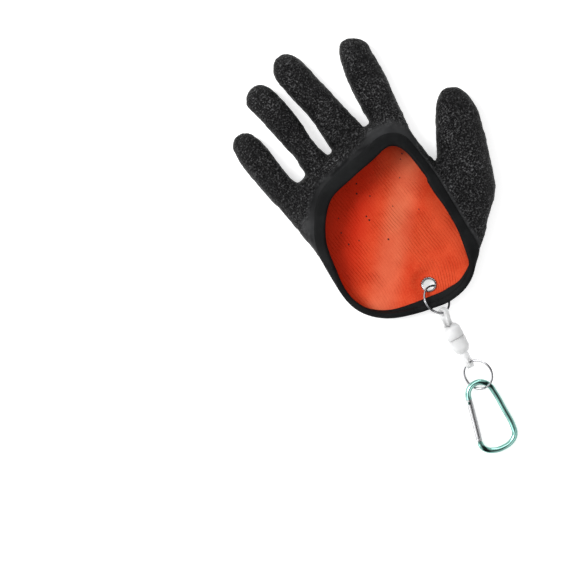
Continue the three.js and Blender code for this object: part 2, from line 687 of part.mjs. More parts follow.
const gateLength = HINGE.distanceTo(NOSE);
const latchAt = gateLength - NOSE_TONGUE + LATCH_FROM_TIP;

function carabinerFrame() {
  const points = CLIP_ROWS.map(([x, y]) => new THREE.Vector3(x * CLIP_LENGTH, y * CLIP_LENGTH, 0));
  points[0] = onGate(-endFace);
  points[points.length - 1] = onGate(gateLength + GAP);
  const curve = new THREE.CatmullRomCurve3(points, false, 'centripetal');
  const tube = solid(tubeAlong(curve, CLIP_TUBE_R, CLIP_SIDES, CLIP_STEPS));
  const hingeTongue = blockOnGate(-endFace - TONGUE_ROOT, HINGE_TONGUE, TONGUE_WIDE, TONGUE_THICK);
  const noseTongue = blockOnGate(
    gateLength - NOSE_TONGUE, gateLength + GAP + TONGUE_ROOT, NOSE_TONGUE_WIDE, TONGUE_THICK, LATCH_ASIDE,
  );
  const latch = pinOnGate(latchAt, LATCH_PIN_R, 2 * GATE_R, LATCH_ASIDE);
  const pinHole = pinOnGate(0, PIN_R + GAP, 4 * GATE_R);
  return tube.add(hingeTongue).add(noseTongue).add(latch).subtract(pinHole);
}

// The gate: a rod forked at its hinge and slotted at its nose for the latch pin
function carabinerGate() {
  const end = new THREE.SphereGeometry(GATE_R, CLIP_SIDES, 6);
  end.translate(HINGE.x, HINGE.y, 0);
  const body = solid(rod(onGate(0), onGate(gateLength), GATE_R, CLIP_SIDES)).add(solid(end));
  const slot = TONGUE_THICK + 2 * GAP;
  const fork = blockOnGate(-2 * GATE_R, FORK_DEPTH, 4 * GATE_R, slot);
  const mouth = blockOnGate(gateLength - NOSE_TONGUE - GAP, gateLength + GATE_R, 4 * GATE_R, slot);
  const seat = pinOnGate(latchAt, LATCH_PIN_R + GAP, 4 * GATE_R, LATCH_ASIDE);
  const notchWide = 2 * (LATCH_PIN_R + GAP);
  const notch = blockOnGate(
    latchAt - notchWide / 2, latchAt + notchWide / 2, 4 * GATE_R, 4 * GATE_R, LATCH_ASIDE + 2 * GATE_R,
  );
  const pinHole = pinOnGate(0, PIN_R + GAP, 4 * GATE_R);
  return body.subtract(fork).subtract(mouth).subtract(seat).subtract(notch).subtract(pinHole);
}

function gateRivet() {
  return pinOnGate(0, PIN_R, 2 * (GATE_R + PIN_PROUD));
}

// Finishes

function finish(color, roughness, metalness) {
  return new THREE.MeshStandardMaterial({ color, roughness, metalness });
}

const latex = finish(0x2c2c2e, 0.55, 0);
const knit = finish(0xd84c28, 0.9, 0);
const tape = finish(0x1b1b1d, 0.45, 0);
const steel = finish(0xc9ccd0, 0.25, 1);
const plastic = finish(0xe9ebee, 0.35, 0);
const anodised = finish(0x3f8f7c, 0.3, 0.9);
const silver = finish(0xd5d8dc, 0.3, 1);

function mesh(name, manifold, material) {
  const piece = new THREE.Mesh(geometryOf(manifold), material);
  piece.name = name;
  return piece;
}

const glove = new THREE.Group();
glove.add(
  mesh('latex_coat', latexCoat(), latex),
  mesh('knit_liner', knitLiner(), knit),
  mesh('edge_binding', edgeBinding(), tape),
  mesh('eyelet', eyelet(), steel),
);

const connector = new THREE.Group();
connector.add(
  mesh('split_ring_glove', placed(splitRing(), gloveRing, gloveRingCentre), steel),
  mesh('release_upper', releaseHalf(true, releaseAxis.clone().negate(), gloveRing.side, gloveRingExit), plastic),
  mesh('release_lower', releaseHalf(false, releaseAxis, clipRing.side, clipRingExit), plastic),
  mesh('split_ring_clip', placed(splitRing(), clipRing, clipRingCentre), steel),
);

// The carabiner hangs by its top bend from the far side of its ring
const carabiner = new THREE.Group();
carabiner.rotation.set(CLIP_PITCH, 0, CLIP_TURN, 'ZXY');
const clipTop = new THREE.Vector3(CLIP_TOP.x, CLIP_TOP.y, 0).applyEuler(carabiner.rotation);
carabiner.position.set(
  RELEASE_AXIS_END.x + CLIP_HANG.x,
  RELEASE_AXIS_END.y - 2 * RING_R + CLIP_HANG.y,
  CLIP_HANG.z,
).sub(clipTop);
carabiner.add(
  mesh('carabiner_frame', carabinerFrame(), anodised),
  mesh('carabiner_gate', carabinerGate(), silver),
  mesh('gate_rivet', gateRivet(), steel),
);

const fishingGlove = new THREE.Group();
fishingGlove.add(glove, connector, carabiner);

export default fishingGlove;
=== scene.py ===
# Fishing glove for the left hand, lying palm down with its open back up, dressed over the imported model.
# Metres. +Y runs to the fingertips, +X to the thumb, +Z up. The floor is z = 0.
import math

import bmesh
import bpy
from mathutils import Matrix, Vector, noise
from mathutils.bvhtree import BVHTree
from mathutils.kdtree import KDTree


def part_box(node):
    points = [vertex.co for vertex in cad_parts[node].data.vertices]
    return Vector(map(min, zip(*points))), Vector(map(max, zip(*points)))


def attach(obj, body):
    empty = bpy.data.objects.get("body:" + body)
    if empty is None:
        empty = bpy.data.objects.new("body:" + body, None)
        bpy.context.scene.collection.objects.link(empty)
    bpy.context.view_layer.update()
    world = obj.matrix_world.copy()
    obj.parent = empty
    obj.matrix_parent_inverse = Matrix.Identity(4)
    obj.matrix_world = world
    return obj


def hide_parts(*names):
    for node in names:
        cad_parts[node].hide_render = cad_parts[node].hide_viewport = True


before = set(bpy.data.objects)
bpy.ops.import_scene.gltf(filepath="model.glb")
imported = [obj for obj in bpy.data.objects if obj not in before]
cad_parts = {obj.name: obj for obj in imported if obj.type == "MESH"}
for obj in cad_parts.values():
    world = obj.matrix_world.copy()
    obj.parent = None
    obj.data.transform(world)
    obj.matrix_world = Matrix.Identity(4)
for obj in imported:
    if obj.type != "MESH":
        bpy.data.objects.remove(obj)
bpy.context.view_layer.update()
MM = 0.001

# Glove sizes, in millimetres
PALM_WIDTH = 120
PALM_LENGTH = 146
PALM_MIDDLE_Y = 12
PALM_HEIGHT = 27
HEEL_LIFT = 9
FLAT_SHARE = 0.3
SQUARENESS = 2.5
LOFT_SIDES = 56
ROW_STEPS = 4
VOXEL = 1.3
SMOOTHING = 9
THUMB_ROOT = (83, -11)
THUMB_ROOT_R = 26
THUMB_ROOT_CORE_R = 7.8
THUMB_ROOT_SMOOTHING = 50
THUMB_ROOT_FILL = 0.5

# Walls of the cloth
COAT_WALL = 1.1
LINER_DEPTH = 1.4
LINER_WALL = 0.8
TOTAL_WALL = 2.2

# Surface of the coat: a smooth band beside the tape, then waves, lumps and folds, each of a size and height
SMOOTH_BAND = 9.5
WAVES = [(13, 0.45), (6.5, 0.3)]
LUMP_SIZE = 3.3
LUMP_HEIGHT = 0.32
FOLD_SIZE = 2.6
FOLD_HEIGHT = 0.42
FOLD_ASIDE = Vector((7, 3, 1))
CREASED_ABOVE_Z = 9
LOWEST_Z = 0.05

# Swell of the loose knit along the palm
SWELL_HEIGHT = 3.2
SWELL_X = -4
SWELL_HALF_WIDTH = 24

# Opening and its tape
HEM_Z = 11.8
HEM_OVERRUN = 9
OPENING_MIDDLE = (-4, 4)
TAPE = 1.0
TAPE_GAP = 0.25
TAPE_WIDTH = 7.3
TAPE_WIDTH_TOP = 9.0
TAPE_WIDTH_HEEL = 11.1
TAPE_WIDTH_THUMB = 5.8
TAPE_CORNER = 2.42
TAPE_FOLD = 1.3
TAPE_LAP = 1.5
TAPE_HEEL_LAP = 1.9
TAPE_STEPS = 9
TAPE_STATIONS = 320

# Eyelet
EYELET_X = -3.5
EYELET_Y = -41.2
EYELET_TILT = math.radians(-15.6)
EYELET_HOLE_R = 4.5
EYELET_BARREL_R = 4.9
EYELET_FLANGE_R = 5.75
EYELET_SEAT_Z = 1.73
EYELET_TEETH = 20
EYELET_TOOTH_R = 0.48

# Split rings
RING_R = 11.5
RING_WIRE_WIDE = 1.4
RING_WIRE_THICK = 0.8
RING_PITCH = 1.05
RING_TURNS = 1.94
GLOVE_RING_TILT = math.radians(36)
CLIP_RING_TILT = math.radians(33)

# Magnetic release
BARREL_R = 6.8
BARREL_HALF = 12
SHOULDER_R = 4.6
SHOULDER_LENGTH = 3.6
RELEASE_Z = 7.2
BOSS_R = 3.6
BOSS_LENGTH = 2
EAR_THICK = 3.8
EAR_COLLAR_R = 3.1
EAR_COLLAR = 5.6
EAR_R = 4.3
EAR_HOLE_R = 2.3
EAR_NECK = 5.8
SEAM_SHARE = 0.517
GAP = 0.3

# Carabiner
CLIP_LENGTH = 59
CLIP_TUBE_R = 2.3
CLIP_TURN = math.radians(-12.4)
CLIP_PITCH = math.radians(3.2)
GATE_R = 2.4
TONGUE_THICK = 1.6
TONGUE_WIDE = 3.2
NOSE_TONGUE = 3.4
PIN_R = 0.8
LATCH_PIN_R = 0.75
LATCH_ASIDE = 0.5
LATCH_BACK = 1.1

# Camera: straight above, turned as in the photograph
VIEW_MIDDLE = (-90.7, 24.0)
VIEW_TURN = math.radians(38)
VIEW_WIDTH = 443.5
VIEW_LENS = 100
VIEW_SENSOR = 36

# Studio: how much the paper shines of itself
PAPER_GLOW = 0.55

# The sky that the metal mirrors: its tones, and where each begins or ends from far side (-1) to key side (1)
SKY_DARK = 0.02
SKY_FAR = 0.85
SKY_FAR_TO = (-0.60, -0.44)
SKY_BRIGHT = 1.1
SKY_BRIGHT_FROM = (-0.14, 0.02)
SKY_STRIPE = 3.4
SKY_STRIPE_FROM = (0.27, 0.34)
SKY_STRIPE_TO = (0.52, 0.62)

# Palm sections, heel to knuckles: y, left, right, low, waist, high, as shares of the palm's sizes
PALM_ROWS = [
    (-0.493, 0.000, 0.125, 1.00, 0.445, 0.665),
    (-0.466, -0.098, 0.216, 0.94, 0.435, 0.665),
    (-0.445, -0.174, 0.250, 0.87, 0.430, 0.665),
    (-0.418, -0.250, 0.296, 0.77, 0.425, 0.665),
    (-0.384, -0.332, 0.358, 0.62, 0.420, 0.665),
    (-0.342, -0.398, 0.438, 0.43, 0.415, 0.670),
    (-0.288, -0.454, 0.515, 0.20, 0.410, 0.700),
    (-0.219, -0.493, 0.550, 0.00, 0.410, 0.740),
    (-0.137, -0.504, 0.545, 0.00, 0.410, 0.810),
    (-0.027, -0.491, 0.525, 0.00, 0.415, 0.890),
    (0.123, -0.477, 0.483, 0.00, 0.420, 0.965),
    (0.329, -0.478, 0.482, 0.00, 0.410, 1.000),
    (0.411, -0.484, 0.502, 0.00, 0.390, 0.960),
    (0.459, -0.462, 0.490, 0.00, 0.370, 0.850),
    (0.486, -0.262, 0.440, 0.06, 0.350, 0.740),
    (0.500, -0.175, 0.365, 0.22, 0.340, 0.620),
]

# Digits: root and tip in plan, half width, height, and rows of at, left, right, high, low as shares
DIGITS = {
    "little": ((-48.7, 62), (-48.7, 140.3), 12, 17.5, [
        (0.00, -0.35, 0.60, 1.00, 0.04), (0.23, -0.84, 1.06, 1.08, 0.00), (0.36, -0.90, 0.97, 1.04, 0.00),
        (0.49, -0.95, 0.95, 1.00, 0.00), (0.74, -0.98, 0.98, 0.97, 0.00), (0.87, -0.86, 0.85, 0.90, 0.03),
        (0.94, -0.72, 0.71, 0.80, 0.10), (0.98, -0.45, 0.46, 0.67, 0.22), (1.00, -0.22, 0.22, 0.55, 0.32),
    ]),
    "ring": ((-15.8, 62), (-15.8, 162.5), 12, 18.5, [
        (0.00, -0.95, 1.00, 1.05, 0.00), (0.29, -0.81, 0.89, 1.06, 0.00), (0.39, -0.73, 0.82, 1.03, 0.00),
        (0.60, -0.88, 0.95, 1.00, 0.00), (0.76, -0.99, 0.93, 0.97, 0.00), (0.88, -1.10, 0.82, 0.90, 0.02),
        (0.93, -1.05, 0.72, 0.82, 0.08), (0.975, -0.75, 0.48, 0.68, 0.20), (1.00, -0.36, 0.12, 0.55, 0.32),
    ]),
    "middle": ((15.5, 62), (15.5, 169), 14, 19, [
        (0.00, -0.95, 0.95, 1.05, 0.00), (0.22, -0.98, 1.12, 1.07, 0.00), (0.36, -0.92, 1.02, 1.02, 0.00),
        (0.54, -0.87, 0.91, 1.00, 0.00), (0.73, -1.00, 0.79, 0.97, 0.00), (0.86, -1.04, 0.69, 0.91, 0.02),
        (0.93, -0.91, 0.58, 0.82, 0.08), (0.975, -0.66, 0.36, 0.68, 0.20), (1.00, -0.32, 0.06, 0.55, 0.32),
    ]),
    "index": ((46.6, 62), (61.3, 148), 14, 19, [
        (0.00, -0.60, 0.35, 1.00, 0.04), (0.14, -0.91, 0.85, 1.08, 0.00), (0.26, -0.92, 0.92, 1.06, 0.00),
        (0.47, -0.95, 1.01, 1.00, 0.00), (0.58, -0.94, 1.05, 1.00, 0.00), (0.69, -0.89, 1.04, 0.98, 0.00),
        (0.80, -0.79, 1.03, 0.93, 0.01), (0.89, -0.65, 0.98, 0.85, 0.06), (0.96, -0.44, 0.66, 0.70, 0.18),
        (1.00, -0.20, 0.18, 0.55, 0.32),
    ]),
    "thumb": ((45.6, -36.5), (100.3, 70.7), 20, 22, [
        (0.00, -0.60, 0.20, 0.68, 0.21), (0.12, -0.80, 0.62, 0.82, 0.09), (0.27, -0.90, 1.04, 0.97, 0.00),
        (0.37, -0.92, 1.14, 1.00, 0.00), (0.49, -0.92, 1.15, 1.00, 0.00), (0.62, -0.80, 1.125, 0.97, 0.00),
        (0.80, -0.645, 1.045, 0.89, 0.00), (0.88, -0.53, 0.895, 0.83, 0.04), (0.93, -0.42, 0.755, 0.76, 0.09),
        (0.975, -0.245, 0.53, 0.66, 0.19), (1.00, -0.06, 0.26, 0.52, 0.30),
    ]),
}

# Edge of the opening from the heel, anticlockwise: x, y, and 1 where the cut passes outside the heel
OPENING_ROWS = [
    (0.042, -0.486, 1), (0.133, -0.483, 1), (0.208, -0.455, 1), (0.254, -0.408, 0.3), (0.288, -0.349, 0),
    (0.321, -0.274, 0), (0.346, -0.185, 0), (0.358, -0.082, 0), (0.375, 0.014, 0), (0.388, 0.110, 0),
    (0.390, 0.205, 0), (0.379, 0.288, 0), (0.342, 0.339, 0), (0.283, 0.356, 0), (0.167, 0.342, 0),
    (0.000, 0.336, 0), (-0.150, 0.329, 0), (-0.224, 0.307, 0), (-0.279, 0.268, 0), (-0.359, 0.200, 0),
    (-0.413, 0.128, 0), (-0.441, 0.056, 0), (-0.462, -0.014, 0), (-0.478, -0.068, 0.2),
    (-0.488, -0.137, 0.7), (-0.483, -0.205, 1), (-0.458, -0.267, 1), (-0.408, -0.322, 1),
    (-0.333, -0.375, 1), (-0.250, -0.409, 1), (-0.167, -0.438, 1), (-0.067, -0.464, 1),
]

# Where the liner stops inside the digits, as shares of the palm's width and length
LINER_REACH = [
    (-0.60, -0.60), (0.60, -0.60), (0.78, -0.08), (0.66, 0.20), (0.60, 0.58), (-0.60, 0.58),
]

# Painted highlight: a lighter stripe over the knit where light falls along the swell; its way across in plan
# and its distance from the origin
HIGHLIGHT_STREAK_ACROSS = (-0.655, 0.756, 0)
HIGHLIGHT_STREAK_ASIDE = 0.0039

# Soft creases in the coat: two ends in plan, height and half width
CREASES = [
    (-50, 60, -42, 68, 1.1, 1.4), (-46, 66, -36, 72, 0.8, 1.2), (-12, 72, 4, 74, 1.0, 1.3),
    (16, 75, 24, 71.5, 1.3, 1.2), (24, 71.5, 33, 72.5, 1.2, 1.2), (22, 79, 40, 77, 0.8, 1.3),
    (-28, 73, -18, 76, 0.8, 1.2), (-56, 30, -53, 46, 0.8, 1.2), (-59, 8, -56, 26, 0.7, 1.3),
    (60, 22, 72, 18, 0.9, 2.2), (62, 8, 76, 2, 0.8, 2.2), (56, 36, 62, 30, 0.8, 1.6),
    (47, 74, 56, 70, 0.8, 1.4), (38, 71, 46, 68, 0.9, 1.2), (46, 63, 51, 57, 0.7, 1.1),
]

# Spots where the latex has come through the knit: x, y and size
SPECK_R = 0.75
SPECKS = [
    (0.8, 55, 0.8), (-3.9, 48.7, 0.9), (-26.7, 42.4, 0.6), (3, 41, 0.7), (-32.8, 21.7, 0.8),
    (-24.8, 19, 0.6), (-8.9, 30.3, 0.8), (-8.9, 26.7, 0.9), (-6.4, 5.9, 0.9), (26.7, 9.7, 0.6),
    (39.4, 49, 0.6), (43, 51.7, 0.7), (-31.9, 32.2, 0.7), (12, 24, 0.5), (30, 38, 0.6),
]

# Centre line of the carabiner's frame from the gate's hinge round to the nose, as shares of its length
CLIP_ROWS = [
    (-0.262, -0.276), (-0.262, -0.335), (-0.228, -0.392), (-0.140, -0.444), (-0.010, -0.462),
    (0.112, -0.438), (0.192, -0.372), (0.219, -0.272), (0.209, -0.010), (0.190, 0.240),
    (0.164, 0.361), (0.095, 0.440), (0.005, 0.464), (-0.083, 0.434), (-0.140, 0.362), (-0.153, 0.318),
]
HINGE = Vector((-0.258, -0.228, 0)) * CLIP_LENGTH
NOSE = Vector((-0.154, 0.300, 0)) * CLIP_LENGTH
GATE_LENGTH = (NOSE - HINGE).length
LATCH_AT = GATE_LENGTH - NOSE_TONGUE + LATCH_BACK
CLIP_CENTRE = Vector((-28.5, -149.5, 4.45))
RELEASE_TOP = Vector((-8.0, -64.7, RELEASE_Z))
RELEASE_END = Vector((-16.2, -107.4, RELEASE_Z))
GLOVE_RING_EXIT_Z = 10.3
CLIP_RING_EXIT_Z = 6.9
CLIP_RING_FAR_Z = 8.45


# Handling of objects

def only(obj):
    """Makes one object the selected and active one."""
    bpy.ops.object.select_all(action="DESELECT")
    obj.select_set(True)
    bpy.context.view_layer.objects.active = obj


def active(name):
    """The object that an operator has just added, under its own name."""
    obj = bpy.context.active_object
    obj.name = name
    obj.data.name = name
    return obj


def opened(mesh):
    """A mesh opened for work on its faces."""
    work = bmesh.new()
    work.from_mesh(mesh)
    return work


def facing_out(mesh):
    """Turns all faces of a closed mesh outwards."""
    work = opened(mesh)
    bmesh.ops.recalc_face_normals(work, faces=work.faces)
    work.to_mesh(mesh)
    work.free()


def skin_tree(obj):
    """A tree for the nearest place on an object's faces."""
    return BVHTree.FromPolygons(
        [vert.co for vert in obj.data.vertices], [polygon.vertices for polygon in obj.data.polygons])


def linked(name, mesh):
    obj = bpy.data.objects.new(name, mesh)
    bpy.context.collection.objects.link(obj)
    return obj


def apply_modifiers(obj):
    only(obj)
    for modifier in list(obj.modifiers):
        bpy.ops.object.modifier_apply(modifier=modifier.name)


def settle():
    """Puts the active object's place, turn and scale into its mesh."""
    bpy.ops.object.transform_apply(location=True, rotation=True, scale=True)


def apply_place(obj, matrix):
    """Puts an object's place into its mesh, in metres."""
    obj.data.transform(Matrix.Scale(MM, 4) @ matrix @ obj.matrix_basis)
    obj.matrix_basis = Matrix.Identity(4)
    obj.data.update()


def joined(name, pieces):
    only(pieces[0])
    for piece in pieces:
        piece.select_set(True)
    if len(pieces) > 1:
        bpy.ops.object.join()
    return active(name)


def combine(obj, other, operation):
    """Joins a solid to another or cuts it out, and removes the other."""
    modifier = obj.modifiers.new("combine", "BOOLEAN")
    modifier.operation = operation
    modifier.object = other
    modifier.solver = "EXACT"
    apply_modifiers(obj)
    bpy.data.objects.remove(other, do_unlink=True)
    return obj


def smoothing(obj, iterations, group=""):
    modifier = obj.modifiers.new("smoothing", "SMOOTH")
    modifier.factor = 0.5
    modifier.iterations = iterations
    modifier.vertex_group = group


def soften(obj, width, segments=3, angle=35):
    bevel = obj.modifiers.new("soften", "BEVEL")
    bevel.width = width
    bevel.segments = segments
    bevel.limit_method = "ANGLE"
    bevel.angle_limit = math.radians(angle)
    apply_modifiers(obj)
    return obj


def smooth_shading(obj, angle=40):
    only(obj)
    bpy.ops.object.shade_smooth_by_angle(angle=math.radians(angle))


def outward(obj):
    """Merges doubles and turns all faces outwards."""
    only(obj)
    bpy.ops.object.mode_set(mode="EDIT")
    bpy.ops.mesh.select_all(action="SELECT")
    bpy.ops.mesh.remove_doubles(threshold=1e-5)
    bpy.ops.mesh.normals_make_consistent(inside=False)
    bpy.ops.object.mode_set(mode="OBJECT")


def cube(low, high):
    """A box between two corners, in millimetres."""
    size = [b - a for a, b in zip(low, high)]
    middle = [(a + b) / 2 for a, b in zip(low, high)]
    bpy.ops.mesh.primitive_cube_add(size=1, location=middle)
    obj = bpy.context.active_object
    obj.scale = size
    settle()
    return obj


def rod(radius, depth, middle, turn=(0, 0, 0), sides=32):
    bpy.ops.mesh.primitive_cylinder_add(
        vertices=sides, radius=radius, depth=depth, location=middle, rotation=turn)
    settle()
    return bpy.context.active_object


def ball(radius, place, scale=(1, 1, 1), turn=0, segments=10, rings=6):
    bpy.ops.mesh.primitive_uv_sphere_add(
        segments=segments, ring_count=rings, radius=radius, location=place, rotation=(0, 0, turn))
    obj = bpy.context.active_object
    obj.scale = scale
    settle()
    return obj


def turned(name, profile, sides, is_ring=False):
    """A disc drawn out along z and scaled, step by step, or an edge loop drawn round a closed profile."""
    radius, height = profile[0]
    bpy.ops.mesh.primitive_circle_add(
        vertices=sides, radius=radius, fill_type="NOTHING" if is_ring else "NGON", location=(0, 0, height))
    obj = active(name)
    settle()
    bpy.ops.object.mode_set(mode="EDIT")
    bpy.ops.mesh.select_mode(type="EDGE" if is_ring else "FACE")
    bpy.ops.mesh.select_all(action="SELECT")
    extrude = bpy.ops.mesh.extrude_edges_move if is_ring else bpy.ops.mesh.extrude_region_move
    for next_radius, next_height in profile[1:] + (profile[:1] if is_ring else []):
        extrude(TRANSFORM_OT_translate={"value": (0, 0, next_height - height)})
        share = next_radius / radius
        bpy.ops.transform.resize(value=(share, share, 1), center_override=(0, 0, next_height))
        radius, height = next_radius, next_height
    bpy.ops.object.mode_set(mode="OBJECT")
    outward(obj)
    return obj


# Shapes of the cloth

def between(a, b, c, d, t):
    """A point on a smooth curve from b to c."""
    square = 2 * a - 5 * b + 4 * c - d
    cube_part = 3 * b - a - 3 * c + d
    return 0.5 * (2 * b + (c - a) * t + square * t * t + cube_part * t ** 3)


def finer(rows, steps, closed=False):
    """Rows of numbers with more rows set between them on smooth curves."""
    count = len(rows)
    made = []
    for i in range(count if closed else count - 1):
        around = [i - 1, i, i + 1, i + 2]
        if closed:
            around = [j % count for j in around]
        else:
            around = [min(max(j, 0), count - 1) for j in around]
        four = [rows[j] for j in around]
        for step in range(steps):
            made.append([between(*values, step / steps) for values in zip(*four)])
    if not closed:
        made.append(list(rows[-1]))
    return made


def section(left, right, floor, waist, high, flat):
    """A rounded section across and up, flat where it would pass below its floor."""
    half = (right - left) / 2
    middle = (right + left) / 2
    belly = max(floor + 0.25, min(waist, high - 0.25))
    power = 2 / SQUARENESS
    ring = []
    for k in range(LOFT_SIDES):
        angle = 2 * math.pi * (k + 0.5) / LOFT_SIDES
        across = math.copysign(abs(math.cos(angle)) ** power, math.cos(angle))
        up = math.copysign(abs(math.sin(angle)) ** power, math.sin(angle))
        reach = high - belly if up > 0 else belly - floor + flat
        ring.append((middle + half * across, max(floor, belly + reach * up)))
    return ring


def loft(name, rings):
    """A closed skin through rings of equal count."""
    count = len(rings[0])
    points = [point for ring in rings for point in ring]
    faces = []
    for i in range(len(rings) - 1):
        for k in range(count):
            after = (k + 1) % count
            faces.append((i * count + k, i * count + after, (i + 1) * count + after, (i + 1) * count + k))
    faces.append(tuple(range(count)))
    faces.append(tuple(range((len(rings) - 1) * count, len(rings) * count)))
    mesh = bpy.data.meshes.new(name)
    mesh.from_pydata(points, [], faces)
    facing_out(mesh)
    return linked(name, mesh)


def on_palm(x, y):
    """A place in plan, from its shares of the palm's width and length."""
    return x * PALM_WIDTH, PALM_MIDDLE_Y + y * PALM_LENGTH


def palm_form():
    rings = []
    for y, left, right, low, waist, high in finer(PALM_ROWS, ROW_STEPS):
        start, level = on_palm(left, y)
        end, _ = on_palm(right, y)
        ring = section(
            start, end, max(low, 0) * HEEL_LIFT, waist * PALM_HEIGHT, high * PALM_HEIGHT,
            FLAT_SHARE * PALM_HEIGHT)
        rings.append([(x, level, z) for x, z in ring])
    return loft("palm_form", rings)


def digit_form(name, root, tip, girth, thick, rows):
    start = Vector(root)
    along = Vector(tip) - start
    length = along.length
    along.normalize()
    rings = []
    for at, left, right, high, low in finer(rows, ROW_STEPS):
        ring = section(
            left * girth, right * girth, max(low, 0) * thick, 0.45 * thick, high * thick, FLAT_SHARE * thick)
        foot = start + along * at * length
        rings.append([(foot.x + along.y * t, foot.y - along.x * t, z) for t, z in ring])
    return loft(name, rings)


def hand_form():
    """The whole closed hand as one even skin, in millimetres."""
    pieces = [palm_form()]
    for name, digit in DIGITS.items():
        pieces.append(digit_form(name, *digit))
    form = joined("hand_form", pieces)
    remesh = form.modifiers.new("even", "REMESH")
    remesh.mode = "VOXEL"
    remesh.voxel_size = VOXEL
    smoothing(form, SMOOTHING)
    apply_modifiers(form)
    group = form.vertex_groups.new(name="thumb root")
    for vert in form.data.vertices:
        apart = (vert.co.xy - Vector(THUMB_ROOT)).length
        weight = rise(THUMB_ROOT_R, THUMB_ROOT_CORE_R, apart)
        if weight > 0:
            group.add([vert.index], weight, "REPLACE")
    smoothing(form, THUMB_ROOT_SMOOTHING, group.name)
    fuller = form.modifiers.new("fuller thumb root", "DISPLACE")
    fuller.strength = THUMB_ROOT_FILL
    fuller.mid_level = 0
    fuller.vertex_group = group.name
    apply_modifiers(form)
    form.vertex_groups.clear()
    return form


def inside(outline, x, y):
    """Whether a point in plan lies inside a closed outline."""
    found = False
    x0, y0 = outline[-1]
    for x1, y1 in outline:
        if (y1 > y) != (y0 > y) and x < (x0 - x1) * (y - y1) / (y0 - y1) + x1:
            found = not found
        x0, y0 = x1, y1
    return found


def opening_outline(growth):
    """The cut's outline in plan, drawn outwards by a growth."""
    outline = []
    for x, y, over in finer(OPENING_ROWS, 4, closed=True):
        point = Vector(on_palm(x, y))
        away = (point - Vector(OPENING_MIDDLE)).normalized()
        point += away * (min(max(over, 0), 1) * HEM_OVERRUN + growth)
        outline.append((point.x, point.y))
    return outline


def cut_opening(work, growth):
    """Deletes the faces over the opening from a skin."""
    outline = opening_outline(growth)
    gone = []
    for face in work.faces:
        middle = face.calc_center_median()
        if middle.z > HEM_Z - growth and inside(outline, middle.x, middle.y):
            gone.append(face)
    bmesh.ops.delete(work, geom=gone, context="FACES")


def boundary_loop(work):
    """The longest open edge of a skin, as points in order, anticlockwise from above."""
    near = {}
    for edge in work.edges:
        if edge.is_boundary:
            a, b = edge.verts
            near.setdefault(a, []).append(b)
            near.setdefault(b, []).append(a)
    loops = []
    used = set()
    for first in near:
        if first in used:
            continue
        line = [first]
        used.add(first)
        while True:
            onward = [vert for vert in near[line[-1]] if vert not in used]
            if not onward:
                break
            line.append(onward[0])
            used.add(onward[0])
        loops.append([vert.co.copy() for vert in line])
    loop = max(loops, key=len)
    area = sum(a.x * b.y - b.x * a.y for a, b in zip(loop, loop[1:] + loop[:1]))
    if area < 0:
        loop.reverse()
    return loop


def evenly(loop, count):
    """A closed line with its points spread evenly."""
    lengths = [0]
    closed = loop + loop[:1]
    for a, b in zip(closed, closed[1:]):
        lengths.append(lengths[-1] + (b - a).length)
    made = []
    i = 0
    for k in range(count):
        at = lengths[-1] * k / count
        while lengths[i + 1] < at:
            i += 1
        share = (at - lengths[i]) / max(lengths[i + 1] - lengths[i], 1e-9)
        made.append(closed[i].lerp(closed[i + 1], share))
    return made


def eased(line, times):
    """A closed line with its jags smoothed out."""
    count = len(line)
    for _ in range(times):
        line = [(line[i - 1] + 2 * line[i] + line[(i + 1) % count]) / 4 for i in range(count)]
    return line


def rise(low, high, value):
    """0 on low's side, 1 on high's side, smooth between."""
    share = min(max((value - low) / (high - low), 0), 1)
    return share * share * (3 - 2 * share)


def tape_width(x, y):
    """How far the tape reaches from the rim: wide at the knuckles and the heel, narrow by the thumb."""
    top = (TAPE_WIDTH_TOP - TAPE_WIDTH) * rise(44, 60, y)
    heel = (TAPE_WIDTH_HEEL - TAPE_WIDTH) * rise(-24, -42, y)
    corner = TAPE_CORNER * rise(6, 20, x) * rise(-36, -50, y)
    side = TAPE_CORNER * 0.5 * rise(-44, -54, x) * rise(-20, -6, y) * rise(16, 2, y)
    thumb = (TAPE_WIDTH_THUMB - TAPE_WIDTH) * rise(25, 40, x) * rise(-40, -14, y) * rise(58, 46, y)
    return TAPE_WIDTH + top + heel + thumb - corner - side


def rim_paths(rim, tree):
    """For each point of the rim, a path over the skin from the rim into the cloth."""
    count = len(rim)
    paths = []
    for i, point in enumerate(rim):
        ahead = (rim[(i + 1) % count] - rim[i - 1]).normalized()
        place, normal, _, _ = tree.find_nearest(point)
        path = [place]
        step = tape_width(point.x, point.y) / TAPE_STEPS
        for _ in range(TAPE_STEPS):
            onward = ahead.cross(normal).normalized()
            place, normal, _, _ = tree.find_nearest(place + onward * step)
            path.append(place)
        paths.append(path)
    for k in range(TAPE_STEPS + 1):
        column = eased([path[k] for path in paths], 14)
        for path, place in zip(paths, column):
            path[k] = place
    return paths


def path_normals(paths):
    count = len(paths)
    normals = []
    for i, path in enumerate(paths):
        line = []
        for k in range(len(path)):
            ahead = paths[(i + 1) % count][k] - paths[i - 1][k]
            onward = path[min(k + 1, len(path) - 1)] - path[max(k - 1, 0)]
            line.append(onward.cross(ahead).normalized())
        normals.append(line)
    for k in range(TAPE_STEPS + 1):
        column = eased([line[k] for line in normals], 6)
        for line, normal in zip(normals, column):
            line[k] = normal.normalized()
    return normals


def relaxed(line, times):
    """An open line pulled straighter, its ends kept."""
    for _ in range(times):
        line = [
            point if i in (0, len(line) - 1) else (line[i - 1] + 2 * point + line[i + 1]) / 4
            for i, point in enumerate(line)
        ]
    return line


